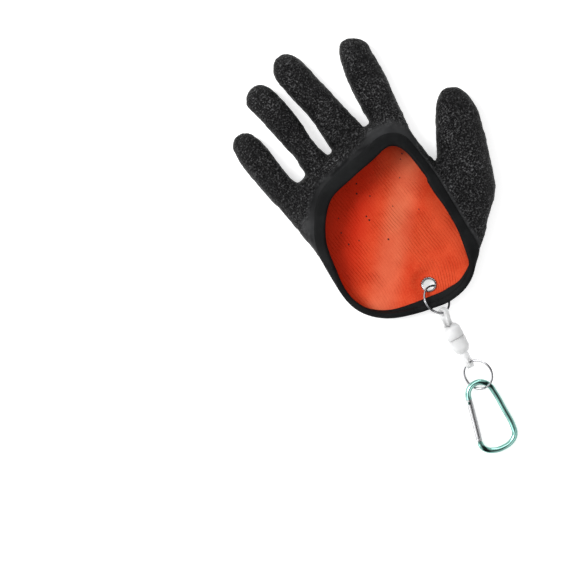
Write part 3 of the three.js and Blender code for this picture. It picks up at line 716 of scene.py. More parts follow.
def tape_section(path, normals):
    """The folded tape across the rim: over the outside, round the edge and back inside."""
    last = len(path) - 1
    lift = [TAPE_GAP + TAPE * (0.35 + 0.65 * math.sin(math.pi * min(0.5, 0.12 + 1.6 * (last - k) / last)))
            for k in range(last + 1)]
    over = [path[k] + normals[k] * lift[k] for k in range(last, -1, -1)]
    under = relaxed([path[k] - normals[k] * (TOTAL_WALL + lift[k]) for k in range(last + 1)], 5)
    back_over = [path[k] + normals[k] * TAPE_GAP for k in range(last + 1)]
    back_under = relaxed([path[k] - normals[k] * (TOTAL_WALL + TAPE_GAP) for k in range(last + 1)], 5)
    middle = path[0] - normals[0] * (TOTAL_WALL / 2)
    outwards = (path[0] - path[1]).normalized()
    x, y, _ = path[0]
    reach = TAPE_FOLD + TAPE_LAP * rise(24, 22.5, y) * rise(-2, 14, y) * rise(36, 42, x)
    reach += TAPE_HEEL_LAP * rise(-12, -26, y) * rise(-20, -34, x)
    fold = []
    inner_fold = []
    deep = TOTAL_WALL / 2 + TAPE_GAP
    for k in range(1, 6):
        angle = math.pi * k / 6
        up = normals[0] * math.cos(angle)
        out = outwards * math.sin(angle)
        fold.append(middle + up * (deep + TAPE) + out * reach)
        inner_fold.append(middle - up * deep + out * TAPE_GAP)
    return over + fold + under + back_under[::-1] + inner_fold + back_over


def edge_binding(paths, normals):
    rings = [tape_section(path, line) for path, line in zip(paths, normals)]
    count = len(rings[0])
    stations = len(rings)
    points = [point for ring in rings for point in ring]
    faces = []
    places = []
    for i in range(stations):
        j = (i + 1) % stations
        for k in range(count):
            after = (k + 1) % count
            faces.append((i * count + k, i * count + after, j * count + after, j * count + k))
            places.append(((i, k), (i, k + 1), (i + 1, k + 1), (i + 1, k)))
    mesh = bpy.data.meshes.new("edge_binding")
    mesh.from_pydata(points, [], faces)
    layer = mesh.uv_layers.new(name="Tape")
    for polygon, corners in zip(mesh.polygons, places):
        for loop, (i, k) in zip(polygon.loop_indices, corners):
            layer.data[loop].uv = (i * 1.2 * MM, k * 0.85 * MM)
    obj = linked("edge_binding", mesh)
    facing_out(mesh)
    smoothing(obj, 2)
    apply_modifiers(obj)
    return obj


def eyelet_hole(work, radius):
    """A round hole for the eyelet, its edge drawn on to a true circle."""
    axis = Vector((EYELET_X, EYELET_Y))
    gone = []
    for face in work.faces:
        middle = face.calc_center_median()
        if middle.z < HEM_Z and (middle.xy - axis).length < radius + 0.3:
            gone.append(face)
    bmesh.ops.delete(work, geom=gone, context="FACES")
    for vert in work.verts:
        away = vert.co.xy - axis
        if vert.is_boundary and away.length < radius + 4:
            spot = axis + away.normalized() * radius
            vert.co.x = spot.x
            vert.co.y = spot.y


def walled(name, work, thickness):
    """The worked skin as an object with a wall on its inside."""
    mesh = bpy.data.meshes.new(name)
    work.to_mesh(mesh)
    work.free()
    obj = linked(name, mesh)
    wall = obj.modifiers.new("wall", "SOLIDIFY")
    wall.thickness = thickness
    wall.offset = -1
    apply_modifiers(obj)
    return obj


def crease_height(x, y):
    """How high the soft creases stand at a place in plan."""
    total = 0
    point = Vector((x, y))
    for x0, y0, x1, y1, height, wide in CREASES:
        start = Vector((x0, y0))
        line = Vector((x1, y1)) - start
        share = min(max((point - start).dot(line) / line.length_squared, 0), 1)
        apart = (point - start - line * share).length
        if apart < 3 * wide:
            total += height * math.exp(-(apart / wide) ** 2)
    return total


def latex_coat(form, rim_tree):
    """The dipped shell, lumpy as crinkled latex is, smooth beside the tape."""
    work = opened(form.data)
    cut_opening(work, 1.0)
    eyelet_hole(work, EYELET_BARREL_R + GAP)
    crinkle = work.verts.layers.float.new("crinkle")
    work.normal_update()
    moves = []
    for vert in work.verts:
        x, y, z = vert.co
        _, _, apart = rim_tree.find(vert.co)
        beyond = apart - tape_width(x, y)
        top = rise(44, 60, y) * (1 - 0.55 * rise(32, 12, x))
        plain = SMOOTH_BAND * max(top, rise(-44, -50, x) if y > -20 else 0)
        rough = rise(plain * 0.35 + 0.5, plain + 3.0, beyond)
        vert[crinkle] = rough
        spot = Vector((x, y, z))
        waves = sum(noise.noise(spot / size) * height for size, height in WAVES)
        folds = abs(noise.noise(spot / FOLD_SIZE + FOLD_ASIDE)) * FOLD_HEIGHT
        lumps = noise.noise(spot / LUMP_SIZE) * LUMP_HEIGHT + folds
        clear = rise(0.3, 3.0, beyond)
        crease = crease_height(x, y) if z > CREASED_ABOVE_Z else 0
        low = rise(0.0, 2.5, z)
        moves.append(vert.normal * clear * low * (waves + lumps * rough + crease))
    for vert, move in zip(work.verts, moves):
        vert.co += move
        vert.co.z = max(vert.co.z, LOWEST_Z)
    return walled("latex_coat", work, COAT_WALL)


def knit_liner(form):
    """The knit inside the palm, with the soft swell of cloth that lies loose."""
    work = opened(form.data)
    cut_opening(work, 1.5)
    reach = [on_palm(x, y) for x, y in LINER_REACH]
    gone = [face for face in work.faces if not inside(reach, *face.calc_center_median().xy)]
    bmesh.ops.delete(work, geom=gone, context="FACES")
    eyelet_hole(work, EYELET_BARREL_R + GAP)
    work.normal_update()
    axis = Vector((EYELET_X, EYELET_Y))
    moves = []
    for vert in work.verts:
        x, y, z = vert.co
        floor = rise(-0.2, -0.8, vert.normal.z)
        clear = rise(6.5, 15, (vert.co.xy - axis).length)
        spot = Vector((x / 16, y / 30, 0.3))
        hump = SWELL_HEIGHT * math.exp(-((x - SWELL_X) / SWELL_HALF_WIDTH) ** 2)
        hump *= rise(62, 25, y) * rise(-50, -25, y)
        swell = hump + max(0, noise.noise(spot) + 0.2) * 0.9
        moves.append(-vert.normal * (LINER_DEPTH + floor * clear * swell))
    for vert, move in zip(work.verts, moves):
        vert.co += move
    return walled("knit_liner", work, LINER_WALL)


def latex_specks(liner):
    """Small spots of latex standing on the knit."""
    tree = skin_tree(liner)
    spots = []
    for x, y, size in SPECKS:
        place, _, _, _ = tree.ray_cast(Vector((x, y, HEM_Z)), Vector((0, 0, -1)))
        spots.append(ball(SPECK_R * size, place, (1, 1.25, 0.4), segments=14, rings=8))
    return joined("latex_specks", spots)


# Shapes of the metal and plastic pieces, in millimetres until they are placed

def eyelet_piece(middle_z):
    """A rolled eyelet, its flange toothed as where such an eyelet is split and pressed over."""
    seat = EYELET_SEAT_Z
    outer = [
        (EYELET_HOLE_R, 0.9), (EYELET_HOLE_R + 0.15, seat), (EYELET_HOLE_R + 0.6, seat + 0.42),
        (EYELET_FLANGE_R - 0.8, seat + 0.5), (EYELET_FLANGE_R - 0.2, seat + 0.35), (EYELET_FLANGE_R, seat),
        (EYELET_BARREL_R, seat),
    ]
    under = [(radius, -height) for radius, height in reversed(outer)]
    ring = turned("eyelet", outer + under, 60, is_ring=True)
    teeth = []
    tooth_r = EYELET_FLANGE_R - 0.3
    for k in range(EYELET_TEETH):
        angle = 2 * math.pi * k / EYELET_TEETH
        place = (tooth_r * math.cos(angle), tooth_r * math.sin(angle), seat + 0.3)
        teeth.append(ball(EYELET_TOOTH_R, place, (1.25, 0.95, 0.8), angle))
    obj = joined("eyelet", [ring, *teeth])
    turn = Matrix.Rotation(EYELET_TILT, 4, "X")
    apply_place(obj, Matrix.Translation((EYELET_X, EYELET_Y, middle_z)) @ turn)
    smooth_shading(obj, 50)
    return obj


def ring_basis(start, end, tilt, sign):
    along = (end - start).normalized()
    level = Vector((-along.y, along.x, 0)).normalized() * sign
    up = along.cross(level).normalized()
    if up.z < 0:
        up.negate()
    side = level * math.cos(tilt) + up * math.sin(tilt)
    normal = along.cross(side)
    return along, side, normal


def basis_matrix(x, y, z, place):
    matrix = Matrix((x, y, z)).transposed().to_4x4()
    matrix.translation = place
    return matrix


def split_ring(name, basis, centre):
    """A flat wire wound nearly twice round."""
    bpy.ops.mesh.primitive_circle_add(
        vertices=16, radius=1, fill_type="NOTHING", location=(RING_R, 0, 0), rotation=(math.pi / 2, 0, 0))
    obj = active(name)
    obj.scale = (RING_WIRE_WIDE / 2, RING_WIRE_THICK / 2, 1)
    settle()
    screw = obj.modifiers.new("coil", "SCREW")
    screw.axis = "Z"
    screw.angle = math.pi * RING_TURNS
    screw.iterations = 2
    screw.screw_offset = RING_PITCH * RING_TURNS / 2
    screw.steps = 56
    screw.render_steps = 56
    apply_modifiers(obj)
    bpy.ops.object.mode_set(mode="EDIT")
    bpy.ops.mesh.select_all(action="SELECT")
    bpy.ops.mesh.remove_doubles(threshold=1e-4)
    bpy.ops.mesh.fill_holes(sides=0)
    bpy.ops.mesh.select_all(action="SELECT")
    bpy.ops.mesh.normals_make_consistent(inside=False)
    bpy.ops.object.mode_set(mode="OBJECT")
    back = Matrix.Rotation(-math.pi * RING_TURNS, 4, "Z")
    lift = Matrix.Translation((0, 0, -RING_PITCH * RING_TURNS / 2))
    apply_place(obj, basis_matrix(*basis, centre) @ lift @ back)
    smooth_shading(obj, 60)
    return obj


def release_half(name, has_boss, outward_axis, wire_side, eye, seam):
    """Half of the release: a turned barrel with an ear for its ring."""
    side = (wire_side - outward_axis * wire_side.dot(outward_axis)).normalized()
    across = outward_axis.cross(side)
    to_eye = eye - seam
    eye_x = to_eye.dot(side)
    eye_y = to_eye.dot(across)
    eye_z = to_eye.dot(outward_axis)
    face = GAP / 2
    if has_boss:
        mate = [(BOSS_R - 0.6, face - BOSS_LENGTH), (BOSS_R, face - BOSS_LENGTH + 0.6), (BOSS_R, face)]
    else:
        mate = [(BOSS_R + GAP, BOSS_LENGTH + face), (BOSS_R + GAP, face)]
    skirt = [
        (BARREL_R - 0.3, face), (BARREL_R - 0.08, face + 0.15), (BARREL_R, face + 0.45),
        (BARREL_R, BARREL_HALF - SHOULDER_LENGTH - 0.2),
        (BARREL_R - 0.15, BARREL_HALF - SHOULDER_LENGTH + 0.25),
        (SHOULDER_R + 0.3, BARREL_HALF - 0.8), (SHOULDER_R - 0.1, BARREL_HALF - 0.3),
        (SHOULDER_R - 0.6, BARREL_HALF), (EAR_COLLAR_R, BARREL_HALF + 0.25),
        (EAR_COLLAR_R - 0.1, BARREL_HALF + EAR_COLLAR - 0.6), (EAR_COLLAR_R - 0.7, BARREL_HALF + EAR_COLLAR),
    ]
    barrel = turned(name, mate + skirt, 44)
    half = EAR_THICK / 2
    neck = cube((eye_x - half, -EAR_NECK / 2, BARREL_HALF - 2), (eye_x + half, EAR_NECK / 2, eye_z))
    for vert in neck.data.vertices:
        if vert.co.z > BARREL_HALF:
            vert.co.y = eye_y + math.copysign(EAR_R * 0.96, vert.co.y)
    ear = combine(neck, rod(EAR_R, EAR_THICK, (eye_x, eye_y, eye_z), (0, math.pi / 2, 0), 48), "UNION")
    combine(ear, rod(EAR_HOLE_R, EAR_THICK * 2, (eye_x, eye_y, eye_z), (0, math.pi / 2, 0), 40), "DIFFERENCE")
    soften(ear, 0.4)
    combine(barrel, ear, "UNION")
    apply_place(barrel, basis_matrix(side, across, outward_axis, seam))
    smooth_shading(barrel, 30)
    return barrel


def on_gate(obj):
    """Turns a piece modelled with +X along the gate into the carabiner's own frame."""
    gate = NOSE - HINGE
    turn = Matrix.Translation(HINGE) @ Matrix.Rotation(math.atan2(gate.y, gate.x), 4, "Z")
    obj.data.transform(turn)
    return obj


def clip_place(obj):
    turn = Matrix.Rotation(CLIP_TURN, 4, "Z") @ Matrix.Rotation(CLIP_PITCH, 4, "X")
    apply_place(obj, Matrix.Translation(CLIP_CENTRE) @ turn)


def carabiner_frame():
    """The bent rod with the two tongues that the gate closes over."""
    gate = (NOSE - HINGE).normalized()
    points = [Vector((x, y, 0)) * CLIP_LENGTH for x, y in CLIP_ROWS]
    points[0] = HINGE - gate * (GATE_R + GAP)
    points[-1] = HINGE + gate * (GATE_LENGTH + GAP)
    curve = bpy.data.curves.new("carabiner_frame", "CURVE")
    curve.dimensions = "3D"
    curve.bevel_depth = CLIP_TUBE_R
    curve.bevel_resolution = 6
    curve.resolution_u = 10
    curve.use_fill_caps = True
    spline = curve.splines.new("BEZIER")
    spline.bezier_points.add(len(points) - 1)
    for knot, point in zip(spline.bezier_points, points):
        knot.co = point
        knot.handle_left_type = "AUTO"
        knot.handle_right_type = "AUTO"
    obj = linked("carabiner_frame", curve)
    only(obj)
    bpy.ops.object.convert(target="MESH")
    obj = active("carabiner_frame")
    outward(obj)
    hinge_tongue = cube(
        (-GATE_R - GAP - 1, -TONGUE_WIDE / 2, -TONGUE_THICK / 2), (1.5, TONGUE_WIDE / 2, TONGUE_THICK / 2))
    soften(hinge_tongue, 0.3)
    nose_tongue = cube(
        (GATE_LENGTH - NOSE_TONGUE, LATCH_ASIDE - 1.2, -TONGUE_THICK / 2),
        (GATE_LENGTH + 1.2, LATCH_ASIDE + 1.2, TONGUE_THICK / 2))
    soften(nose_tongue, 0.2)
    combine(obj, on_gate(hinge_tongue), "UNION")
    combine(obj, on_gate(nose_tongue), "UNION")
    combine(obj, on_gate(rod(LATCH_PIN_R, 2 * GATE_R, (LATCH_AT, LATCH_ASIDE, 0), sides=24)), "UNION")
    combine(obj, on_gate(rod(PIN_R + GAP, 4 * GATE_R, (0, 0, 0), sides=24)), "DIFFERENCE")
    clip_place(obj)
    smooth_shading(obj, 35)
    return obj


def carabiner_gate():
    """The rod between hinge and nose, forked at one end and slotted at the other."""
    obj = rod(GATE_R, GATE_LENGTH, (GATE_LENGTH / 2, 0, 0), (0, math.pi / 2, 0), 40)
    combine(obj, ball(GATE_R * 0.999, (0, 0, 0), segments=40, rings=20), "UNION")
    slot = TONGUE_THICK + 2 * GAP
    wide = 2 * GATE_R
    notch = LATCH_PIN_R + GAP
    nose_slot = GATE_LENGTH - NOSE_TONGUE - GAP
    cuts = [
        cube((-2 * GATE_R, -wide, -slot / 2), (2.4, wide, slot / 2)),
        cube((nose_slot, -wide, -slot / 2), (GATE_LENGTH + 1, wide, slot / 2)),
        rod(notch, 4 * GATE_R, (LATCH_AT, LATCH_ASIDE, 0), sides=24),
        cube((LATCH_AT - notch, LATCH_ASIDE, -wide), (LATCH_AT + notch, LATCH_ASIDE + 2 * wide, wide)),
        rod(PIN_R + GAP, 4 * GATE_R, (0, 0, 0), sides=24),
    ]
    for cut in cuts:
        combine(obj, cut, "DIFFERENCE")
    soften(obj, 0.12, 2, 40)
    on_gate(obj)
    clip_place(obj)
    smooth_shading(obj, 35)
    return obj


def gate_rivet():
    half = GATE_R + 0.25
    obj = turned("gate_rivet", [
        (PIN_R * 0.55, -half), (PIN_R * 0.9, -half + 0.12), (PIN_R, -half + 0.32), (PIN_R, half - 0.32),
        (PIN_R * 0.9, half - 0.12), (PIN_R * 0.55, half),
    ], 28)
    on_gate(obj)
    clip_place(obj)
    smooth_shading(obj, 50)
    return obj


# Materials

def fill(sockets, values):
    """Links or sets each named socket."""
    for key, value in values.items():
        if isinstance(value, bpy.types.NodeSocket):
            sockets[key].id_data.links.new(value, sockets[key])
        else:
            sockets[key].default_value = value


def colour(red, green, blue):
    return (red, green, blue, 1)


class Shading:
    """A node tree with short ways to add nodes. Each way gives the new node's outputs, or the one in use."""

    def __init__(self, tree):
        self.tree = tree

    def add(self, kind, sockets=None, **settings):
        made = self.tree.nodes.new("ShaderNode" + kind)
        for name, value in settings.items():
            setattr(made, name, value)
        fill(made.inputs, sockets or {})
        return made.outputs

    def maths(self, operation, *values):
        return self.add("Math", dict(enumerate(values)), operation=operation)[0]

    def plus(self, first, second):
        return self.maths("ADD", first, second)

    def minus(self, first, second):
        return self.maths("SUBTRACT", first, second)

    def times(self, first, second):
        return self.maths("MULTIPLY", first, second)

    def scaled(self, value, factor, base):
        return self.maths("MULTIPLY_ADD", value, factor, base)

    def ramp(self, value, low, high, to_low=0.0, to_high=1.0):
        """A smooth step of a value between two others."""
        return self.add("MapRange", {
            "Value": value, "From Min": low, "From Max": high, "To Min": to_low, "To Max": to_high,
        }, interpolation_type="SMOOTHSTEP")[0]

    def blend(self, share, first, second):
        return self.add("Mix", {0: share, 6: first, 7: second}, data_type="RGBA")[2]

    def vector(self, operation, first, second):
        socket = 3 if operation == "SCALE" else 1
        return self.add("VectorMath", {0: first, socket: second}, operation=operation)

    def split(self, vector):
        return self.add("SeparateXYZ", {0: vector})

    def cells(self, vector, cell):
        """A place in metres counted in cells of so many millimetres."""
        return self.vector("SCALE", vector, self.maths("DIVIDE", 1000.0, cell))[0]

    def noise(self, place, scale, detail, **more):
        return self.add("TexNoise", {"Vector": place, "Scale": scale, "Detail": detail, **more})

    def effect(self, group, place, **values):
        return self.add("Group", {"Vector": place, **values}, node_tree=group)

    def relief(self, height, strength, distance):
        return self.add("Bump", {"Strength": strength, "Distance": distance, "Height": height})[0]


def effect_group(name, inputs, outputs):
    """A group of nodes that works on a place and on numbers, and gives numbers."""
    tree = bpy.data.node_groups.new(name, "ShaderNodeTree")
    tree.interface.new_socket("Vector", in_out="INPUT", socket_type="NodeSocketVector")
    for socket, value in inputs.items():
        tree.interface.new_socket(socket, in_out="INPUT", socket_type="NodeSocketFloat").default_value = value
    for socket in outputs:
        tree.interface.new_socket(socket, in_out="OUTPUT", socket_type="NodeSocketFloat")
    given = tree.nodes.new("NodeGroupInput").outputs
    wanted = tree.nodes.new("NodeGroupOutput").inputs
    return Shading(tree), given, wanted


def crinkle_effect():
    """A crinkled film: a net of thin creases round hollows, with masks for painted shade in the hollows and
    painted glints on some creases.
    """
    nodes, given, wanted = effect_group("crinkled film", {"Cell": 1.5}, ["Height", "Crease", "Painted glint"])
    place = nodes.cells(given["Vector"], given["Cell"])
    wander = nodes.noise(place, 0.9, 2.0)["Color"]
    drawn = nodes.vector("ADD", place, nodes.vector("SCALE", wander, 1.5)[0])[0]
    hollows = nodes.add("TexVoronoi", {"Vector": drawn, "Scale": 0.8, "Randomness": 1.0})["Distance"]
    crease = nodes.ramp(hollows, 0.22, 0.72)
    chance = nodes.noise(place, 0.85, 1.5, Roughness=0.6)[0]
    folds = nodes.noise(place, 0.4, 2.5, Roughness=0.6, Distortion=0.8)[0]
    crest = nodes.ramp(nodes.maths("ABSOLUTE", nodes.minus(folds, 0.5)), 0.0, 0.09, 1.0, 0.0)
    height = nodes.plus(nodes.times(crease, 0.7), nodes.times(crest, 0.45))
    fill(wanted, {
        "Height": nodes.plus(height, nodes.times(chance, 0.5)),
        "Crease": crease,
        "Painted glint": nodes.times(nodes.ramp(chance, 0.44, 0.66), crease),
    })
    return nodes.tree


def knit_effect():
    """Columns of knitted stitches with a groove between each two, drawn aside near the heel."""
    nodes, given, wanted = effect_group(
        "knit stitches", {"Wale": 2.5, "Course": 1.3, "Bend from": -0.018, "Bend": 10.0},
        ["Height", "Groove"])
    wander = nodes.noise(given["Vector"], 45.0, 2.0)["Color"]
    place = nodes.vector("ADD", given["Vector"], nodes.vector("SCALE", wander, 0.0042)[0])[0]
    x, y, _ = nodes.split(place)
    past = nodes.maths("MINIMUM", nodes.minus(y, given["Bend from"]), 0.0)
    bow = nodes.times(nodes.times(past, past), given["Bend"])
    wale = nodes.maths("DIVIDE", nodes.times(nodes.plus(x, bow), 1000.0), given["Wale"])
    leg = nodes.maths("ABSOLUTE", nodes.minus(nodes.maths("FRACT", wale), 0.5))
    course = nodes.maths("DIVIDE", nodes.times(y, 1000.0), given["Course"])
    slant = nodes.plus(course, nodes.times(leg, 0.9))
    stitch = nodes.scaled(nodes.maths("COSINE", nodes.times(slant, 2 * math.pi)), 0.5, 0.5)
    groove = nodes.ramp(leg, 0.34, 0.5)
    fill(wanted, {"Height": nodes.minus(nodes.times(stitch, 0.22), groove), "Groove": groove})
    return nodes.tree


def weave_effect():
    """A fine plain weave of threads that cross."""
    nodes, given, wanted = effect_group("plain weave", {"Thread": 0.45}, ["Height"])
    x, y, _ = nodes.split(nodes.cells(given["Vector"], given["Thread"]))
    over = nodes.maths("SINE", nodes.times(x, math.pi))
    under = nodes.maths("SINE", nodes.times(y, math.pi))
    fill(wanted, {"Height": nodes.times(over, under)})
    return nodes.tree


def patches_effect():
    """Slow uneven patches, for wear, dust and thickness."""
    nodes, given, wanted = effect_group(
        "uneven patches", {"Cell": 20.0, "Low": 0.35, "High": 0.65}, ["Mask"])
    place = nodes.cells(given["Vector"], given["Cell"])
    drift = nodes.noise(place, 1.0, 3.0, Roughness=0.55)[0]
    fill(wanted, {"Mask": nodes.ramp(drift, given["Low"], given["High"])})
    return nodes.tree


def scratches_effect():
    """Fine scratches drawn out along one way."""
    nodes, given, wanted = effect_group("drawn scratches", {"Turn": 0.0, "Stretch": 14.0}, ["Height", "Mask"])
    along = nodes.add(
        "VectorRotate", {"Vector": given["Vector"], "Angle": given["Turn"]}, rotation_type="Z_AXIS")[0]
    squeeze = nodes.add("CombineXYZ", {0: given["Stretch"], 1: 1.0, 2: given["Stretch"]})[0]
    lines = nodes.noise(nodes.vector("MULTIPLY", along, squeeze)[0], 260.0, 3.0, Roughness=0.6)[0]
    fill(wanted, {"Height": lines, "Mask": nodes.ramp(lines, 0.55, 0.75)})
    return nodes.tree


CRINKLE = crinkle_effect()
KNIT = knit_effect()
WEAVE = weave_effect()
PATCHES = patches_effect()
SCRATCHES = scratches_effect()


def new_material(name, values):
    """A material, its nodes, its shader's sockets and the coordinates that it may read."""
    material = bpy.data.materials.new(name)
    material.use_nodes = True
    nodes = Shading(material.node_tree)
    sockets = material.node_tree.nodes["Principled BSDF"].inputs
    fill(sockets, values)
    return material, nodes, sockets, nodes.add("TexCoord")


def latex_material():
    material, nodes, sockets, given = new_material("crinkled latex", {"Specular IOR Level": 0.1})
    place = given["Object"]
    rough = nodes.add("Attribute", attribute_name="crinkle")["Fac"]
    film = nodes.effect(CRINKLE, place, Cell=1.08)
    wear_and_glint = nodes.effect(PATCHES, place, Cell=22.0)["Mask"]
    grain = nodes.noise(place, 2600.0, 1.0)[0]
    height = nodes.plus(nodes.times(film["Height"], rough), nodes.times(grain, 0.04))
    # Painted shade and painted highlight: darker in the hollows of the film and lighter on the creases round
    # them
    base = nodes.blend(film["Crease"], colour(0.0014, 0.0014, 0.0016), colour(0.0095, 0.0096, 0.010))
    # Painted glints: light spots on some of the creases, stronger in some patches; the same patches also vary
    # the smooth band's own tone
    painted_glints = nodes.times(film["Painted glint"], nodes.scaled(wear_and_glint, 0.55, 0.45))
    base = nodes.blend(painted_glints, base, colour(0.12, 0.12, 0.122))
    plain = nodes.blend(wear_and_glint, colour(0.017, 0.0174, 0.0184), colour(0.034, 0.0345, 0.0356))
    x = nodes.split(place)[0]
    shaded = nodes.times(nodes.ramp(x, 0.036, 0.020), nodes.ramp(x, -0.050, -0.038))
    plain = nodes.blend(shaded, plain, colour(0.007, 0.0072, 0.0078))
    tone = nodes.blend(rough, plain, base)
    # Painted highlight: a lighter ragged line along the border between the crinkled film and the smooth band
    ragged = nodes.effect(PATCHES, place, Cell=5.0, Low=0.45, High=0.7)["Mask"]
    border = nodes.times(nodes.minus(1.0, rough), rough)
    painted_edge_highlight = nodes.times(nodes.times(border, ragged), 2.2)
    tone = nodes.blend(painted_edge_highlight, tone, colour(0.075, 0.075, 0.078))
    # Painted shade: nearly black where the surface turns away from the top, so the sides of the fingers read
    # darker
    painted_side_shade = nodes.ramp(nodes.split(given["Normal"])[2], 0.1, 0.9, 0.85, 0.0)
    fill(sockets, {
        "Base Color": nodes.blend(painted_side_shade, tone, colour(0.001, 0.001, 0.001)),
        "Roughness": nodes.minus(0.44, nodes.times(rough, 0.06)),
        "Normal": nodes.relief(height, 1.0, 0.0012),
    })
    return material


def knit_material():
    material, nodes, sockets, given = new_material("orange knit", {"Specular IOR Level": 0.08})
    place = given["Object"]
    stitches = nodes.effect(KNIT, place, Wale=2.2, Course=1.2)
    patches = nodes.effect(PATCHES, place, Cell=24.0, Low=0.3, High=0.7)["Mask"]
    lines = nodes.effect(PATCHES, place, Cell=16.0, Low=0.42, High=0.68)["Mask"]
    fuzz = nodes.noise(place, 1100.0, 2.0, Roughness=0.7)[0]
    tone = nodes.blend(patches, colour(0.55, 0.034, 0.008), colour(0.65, 0.064, 0.020))
    across = nodes.vector("DOT_PRODUCT", place, HIGHLIGHT_STREAK_ACROSS)["Value"]
    aside = nodes.maths("ABSOLUTE", nodes.minus(across, HIGHLIGHT_STREAK_ASIDE))
    # Painted highlight: the knit lighter along a stripe where light falls on the swell
    painted_highlight_streak = nodes.times(nodes.ramp(aside, 0.001, 0.017, 0.65, 0.0), nodes.scaled(patches, 0.4, 0.6))
    tone = nodes.blend(painted_highlight_streak, tone, colour(0.72, 0.19, 0.095))
    # Painted shade: darker in the grooves between the stitch columns
    deep = nodes.times(stitches["Groove"], nodes.scaled(lines, 0.20, 0.03))
    tone = nodes.blend(deep, tone, colour(0.36, 0.010, 0.002))
    # Painted shade: darker red, with fewer specks, on the far side of the stripe towards the knuckles and the
    # little finger, under the rim
    painted_rim_shade = nodes.ramp(across, HIGHLIGHT_STREAK_ASIDE + 0.008, HIGHLIGHT_STREAK_ASIDE + 0.034)
    tone = nodes.blend(nodes.times(painted_rim_shade, 0.9), tone, colour(0.53, 0.016, 0.002))
    specked = nodes.times(nodes.ramp(fuzz, 0.35, 0.7, 0.0, 0.12), nodes.scaled(painted_rim_shade, -0.75, 1.0))
    seen = nodes.times(stitches["Height"], nodes.scaled(lines, 0.75, 0.2))
    fill(sockets, {
        "Base Color": nodes.blend(specked, tone, colour(1.0, 0.26, 0.10)),
        "Roughness": 0.62,
        "Normal": nodes.relief(nodes.plus(seen, nodes.times(fuzz, 0.35)), 0.8, 0.0005),
    })
    return material


def tape_material():
    material, nodes, sockets, given = new_material("black tape", {"Specular IOR Level": 0.1})
    threads = nodes.effect(WEAVE, nodes.add("UVMap", uv_map="Tape")[0], Thread=0.5)["Height"]
    patches = nodes.effect(PATCHES, given["Object"], Cell=18.0)["Mask"]
    fill(sockets, {
        "Base Color": nodes.blend(patches, colour(0.0035, 0.0037, 0.004), colour(0.008, 0.0085, 0.0088)),
        "Roughness": 0.75,
        "Normal": nodes.relief(threads, 0.25, 0.00008),
    })
    return material


def plastic_material():
    material, nodes, sockets, given = new_material("milky plastic", {
        "Subsurface Weight": 0.9, "Subsurface Radius": (0.01, 0.01, 0.01), "Subsurface Scale": 1.0,
        "Specular IOR Level": 0.3,
    })
    patches = nodes.effect(PATCHES, given["Object"], Cell=9.0)["Mask"]
    grain = nodes.noise(given["Object"], 1500.0, 2.0)[0]
    fill(sockets, {
        "Base Color": nodes.blend(patches, colour(0.67, 0.673, 0.676), colour(0.73, 0.733, 0.736)),
        "Roughness": nodes.scaled(grain, 0.16, 0.28),
        "Normal": nodes.relief(grain, 0.15, 0.00006),
    })
    return material


def steel_tone(nodes, place, scratched):
    patches = nodes.effect(PATCHES, place, Cell=7.0)["Mask"]
    return nodes.blend(patches, colour(0.20, 0.20, 0.21), colour(0.30, 0.30, 0.31))


def anodised_tone(nodes, place, scratched):
    patches = nodes.effect(PATCHES, place, Cell=12.0)["Mask"]
    tone = nodes.blend(patches, colour(0.175, 0.37, 0.325), colour(0.24, 0.45, 0.40))
    return nodes.blend(nodes.times(scratched, 0.2), tone, colour(0.42, 0.66, 0.60))


def silver_tone(nodes, place, scratched):
    return nodes.blend(scratched, colour(0.45, 0.45, 0.46), colour(0.36, 0.36, 0.37))


def metal_material(name, turn, stretch, tone, smoothest, strength, coat=0.0):
    """A metal with fine scratches drawn out one way, rougher where they lie."""
    material, nodes, sockets, given = new_material(name, {"Metallic": 1.0, "Coat Weight": coat})
    lines = nodes.effect(SCRATCHES, given["Object"], Turn=turn, Stretch=stretch)
    fill(sockets, {
        "Base Color": tone(nodes, given["Object"], lines["Mask"]),
        "Roughness": nodes.scaled(lines["Mask"], 0.10, smoothest),
        "Normal": nodes.relief(lines["Height"], strength, 0.00005),
    })
    return material


LATEX = latex_material()
KNITTED = knit_material()
TAPED = tape_material()
STEEL = metal_material("bright steel", 0.6, 5.0, steel_tone, 0.10, 0.12)
PLASTIC = plastic_material()
ANODISED = metal_material("green anodised", 0.2, 6.0, anodised_tone, 0.12, 0.10, coat=0.3)
SILVER = metal_material("satin silver", -0.2, 9.0, silver_tone, 0.22, 0.15)


def dress(obj, name, body, slot, material, *nodes):
    """Names a finished piece, gives it its material, hangs it under its body and hides the model's parts that
    it stands for.
    """
    obj.name = name
    obj.data.name = name
    obj.data.materials.clear()
    obj.data.materials.append(material)
    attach(obj, body)
    if nodes:
        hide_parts(*nodes)
    return obj


# The glove

form = hand_form()
shape = opened(form.data)
cut_opening(shape, 0)
rim = eased(evenly(boundary_loop(shape), TAPE_STATIONS), 30)
shape.free()
rim_tree = KDTree(len(rim))
for index, point in enumerate(rim):
    rim_tree.insert(point, index)
rim_tree.balance()
paths = rim_paths(rim, skin_tree(form))
normals = path_normals(paths)

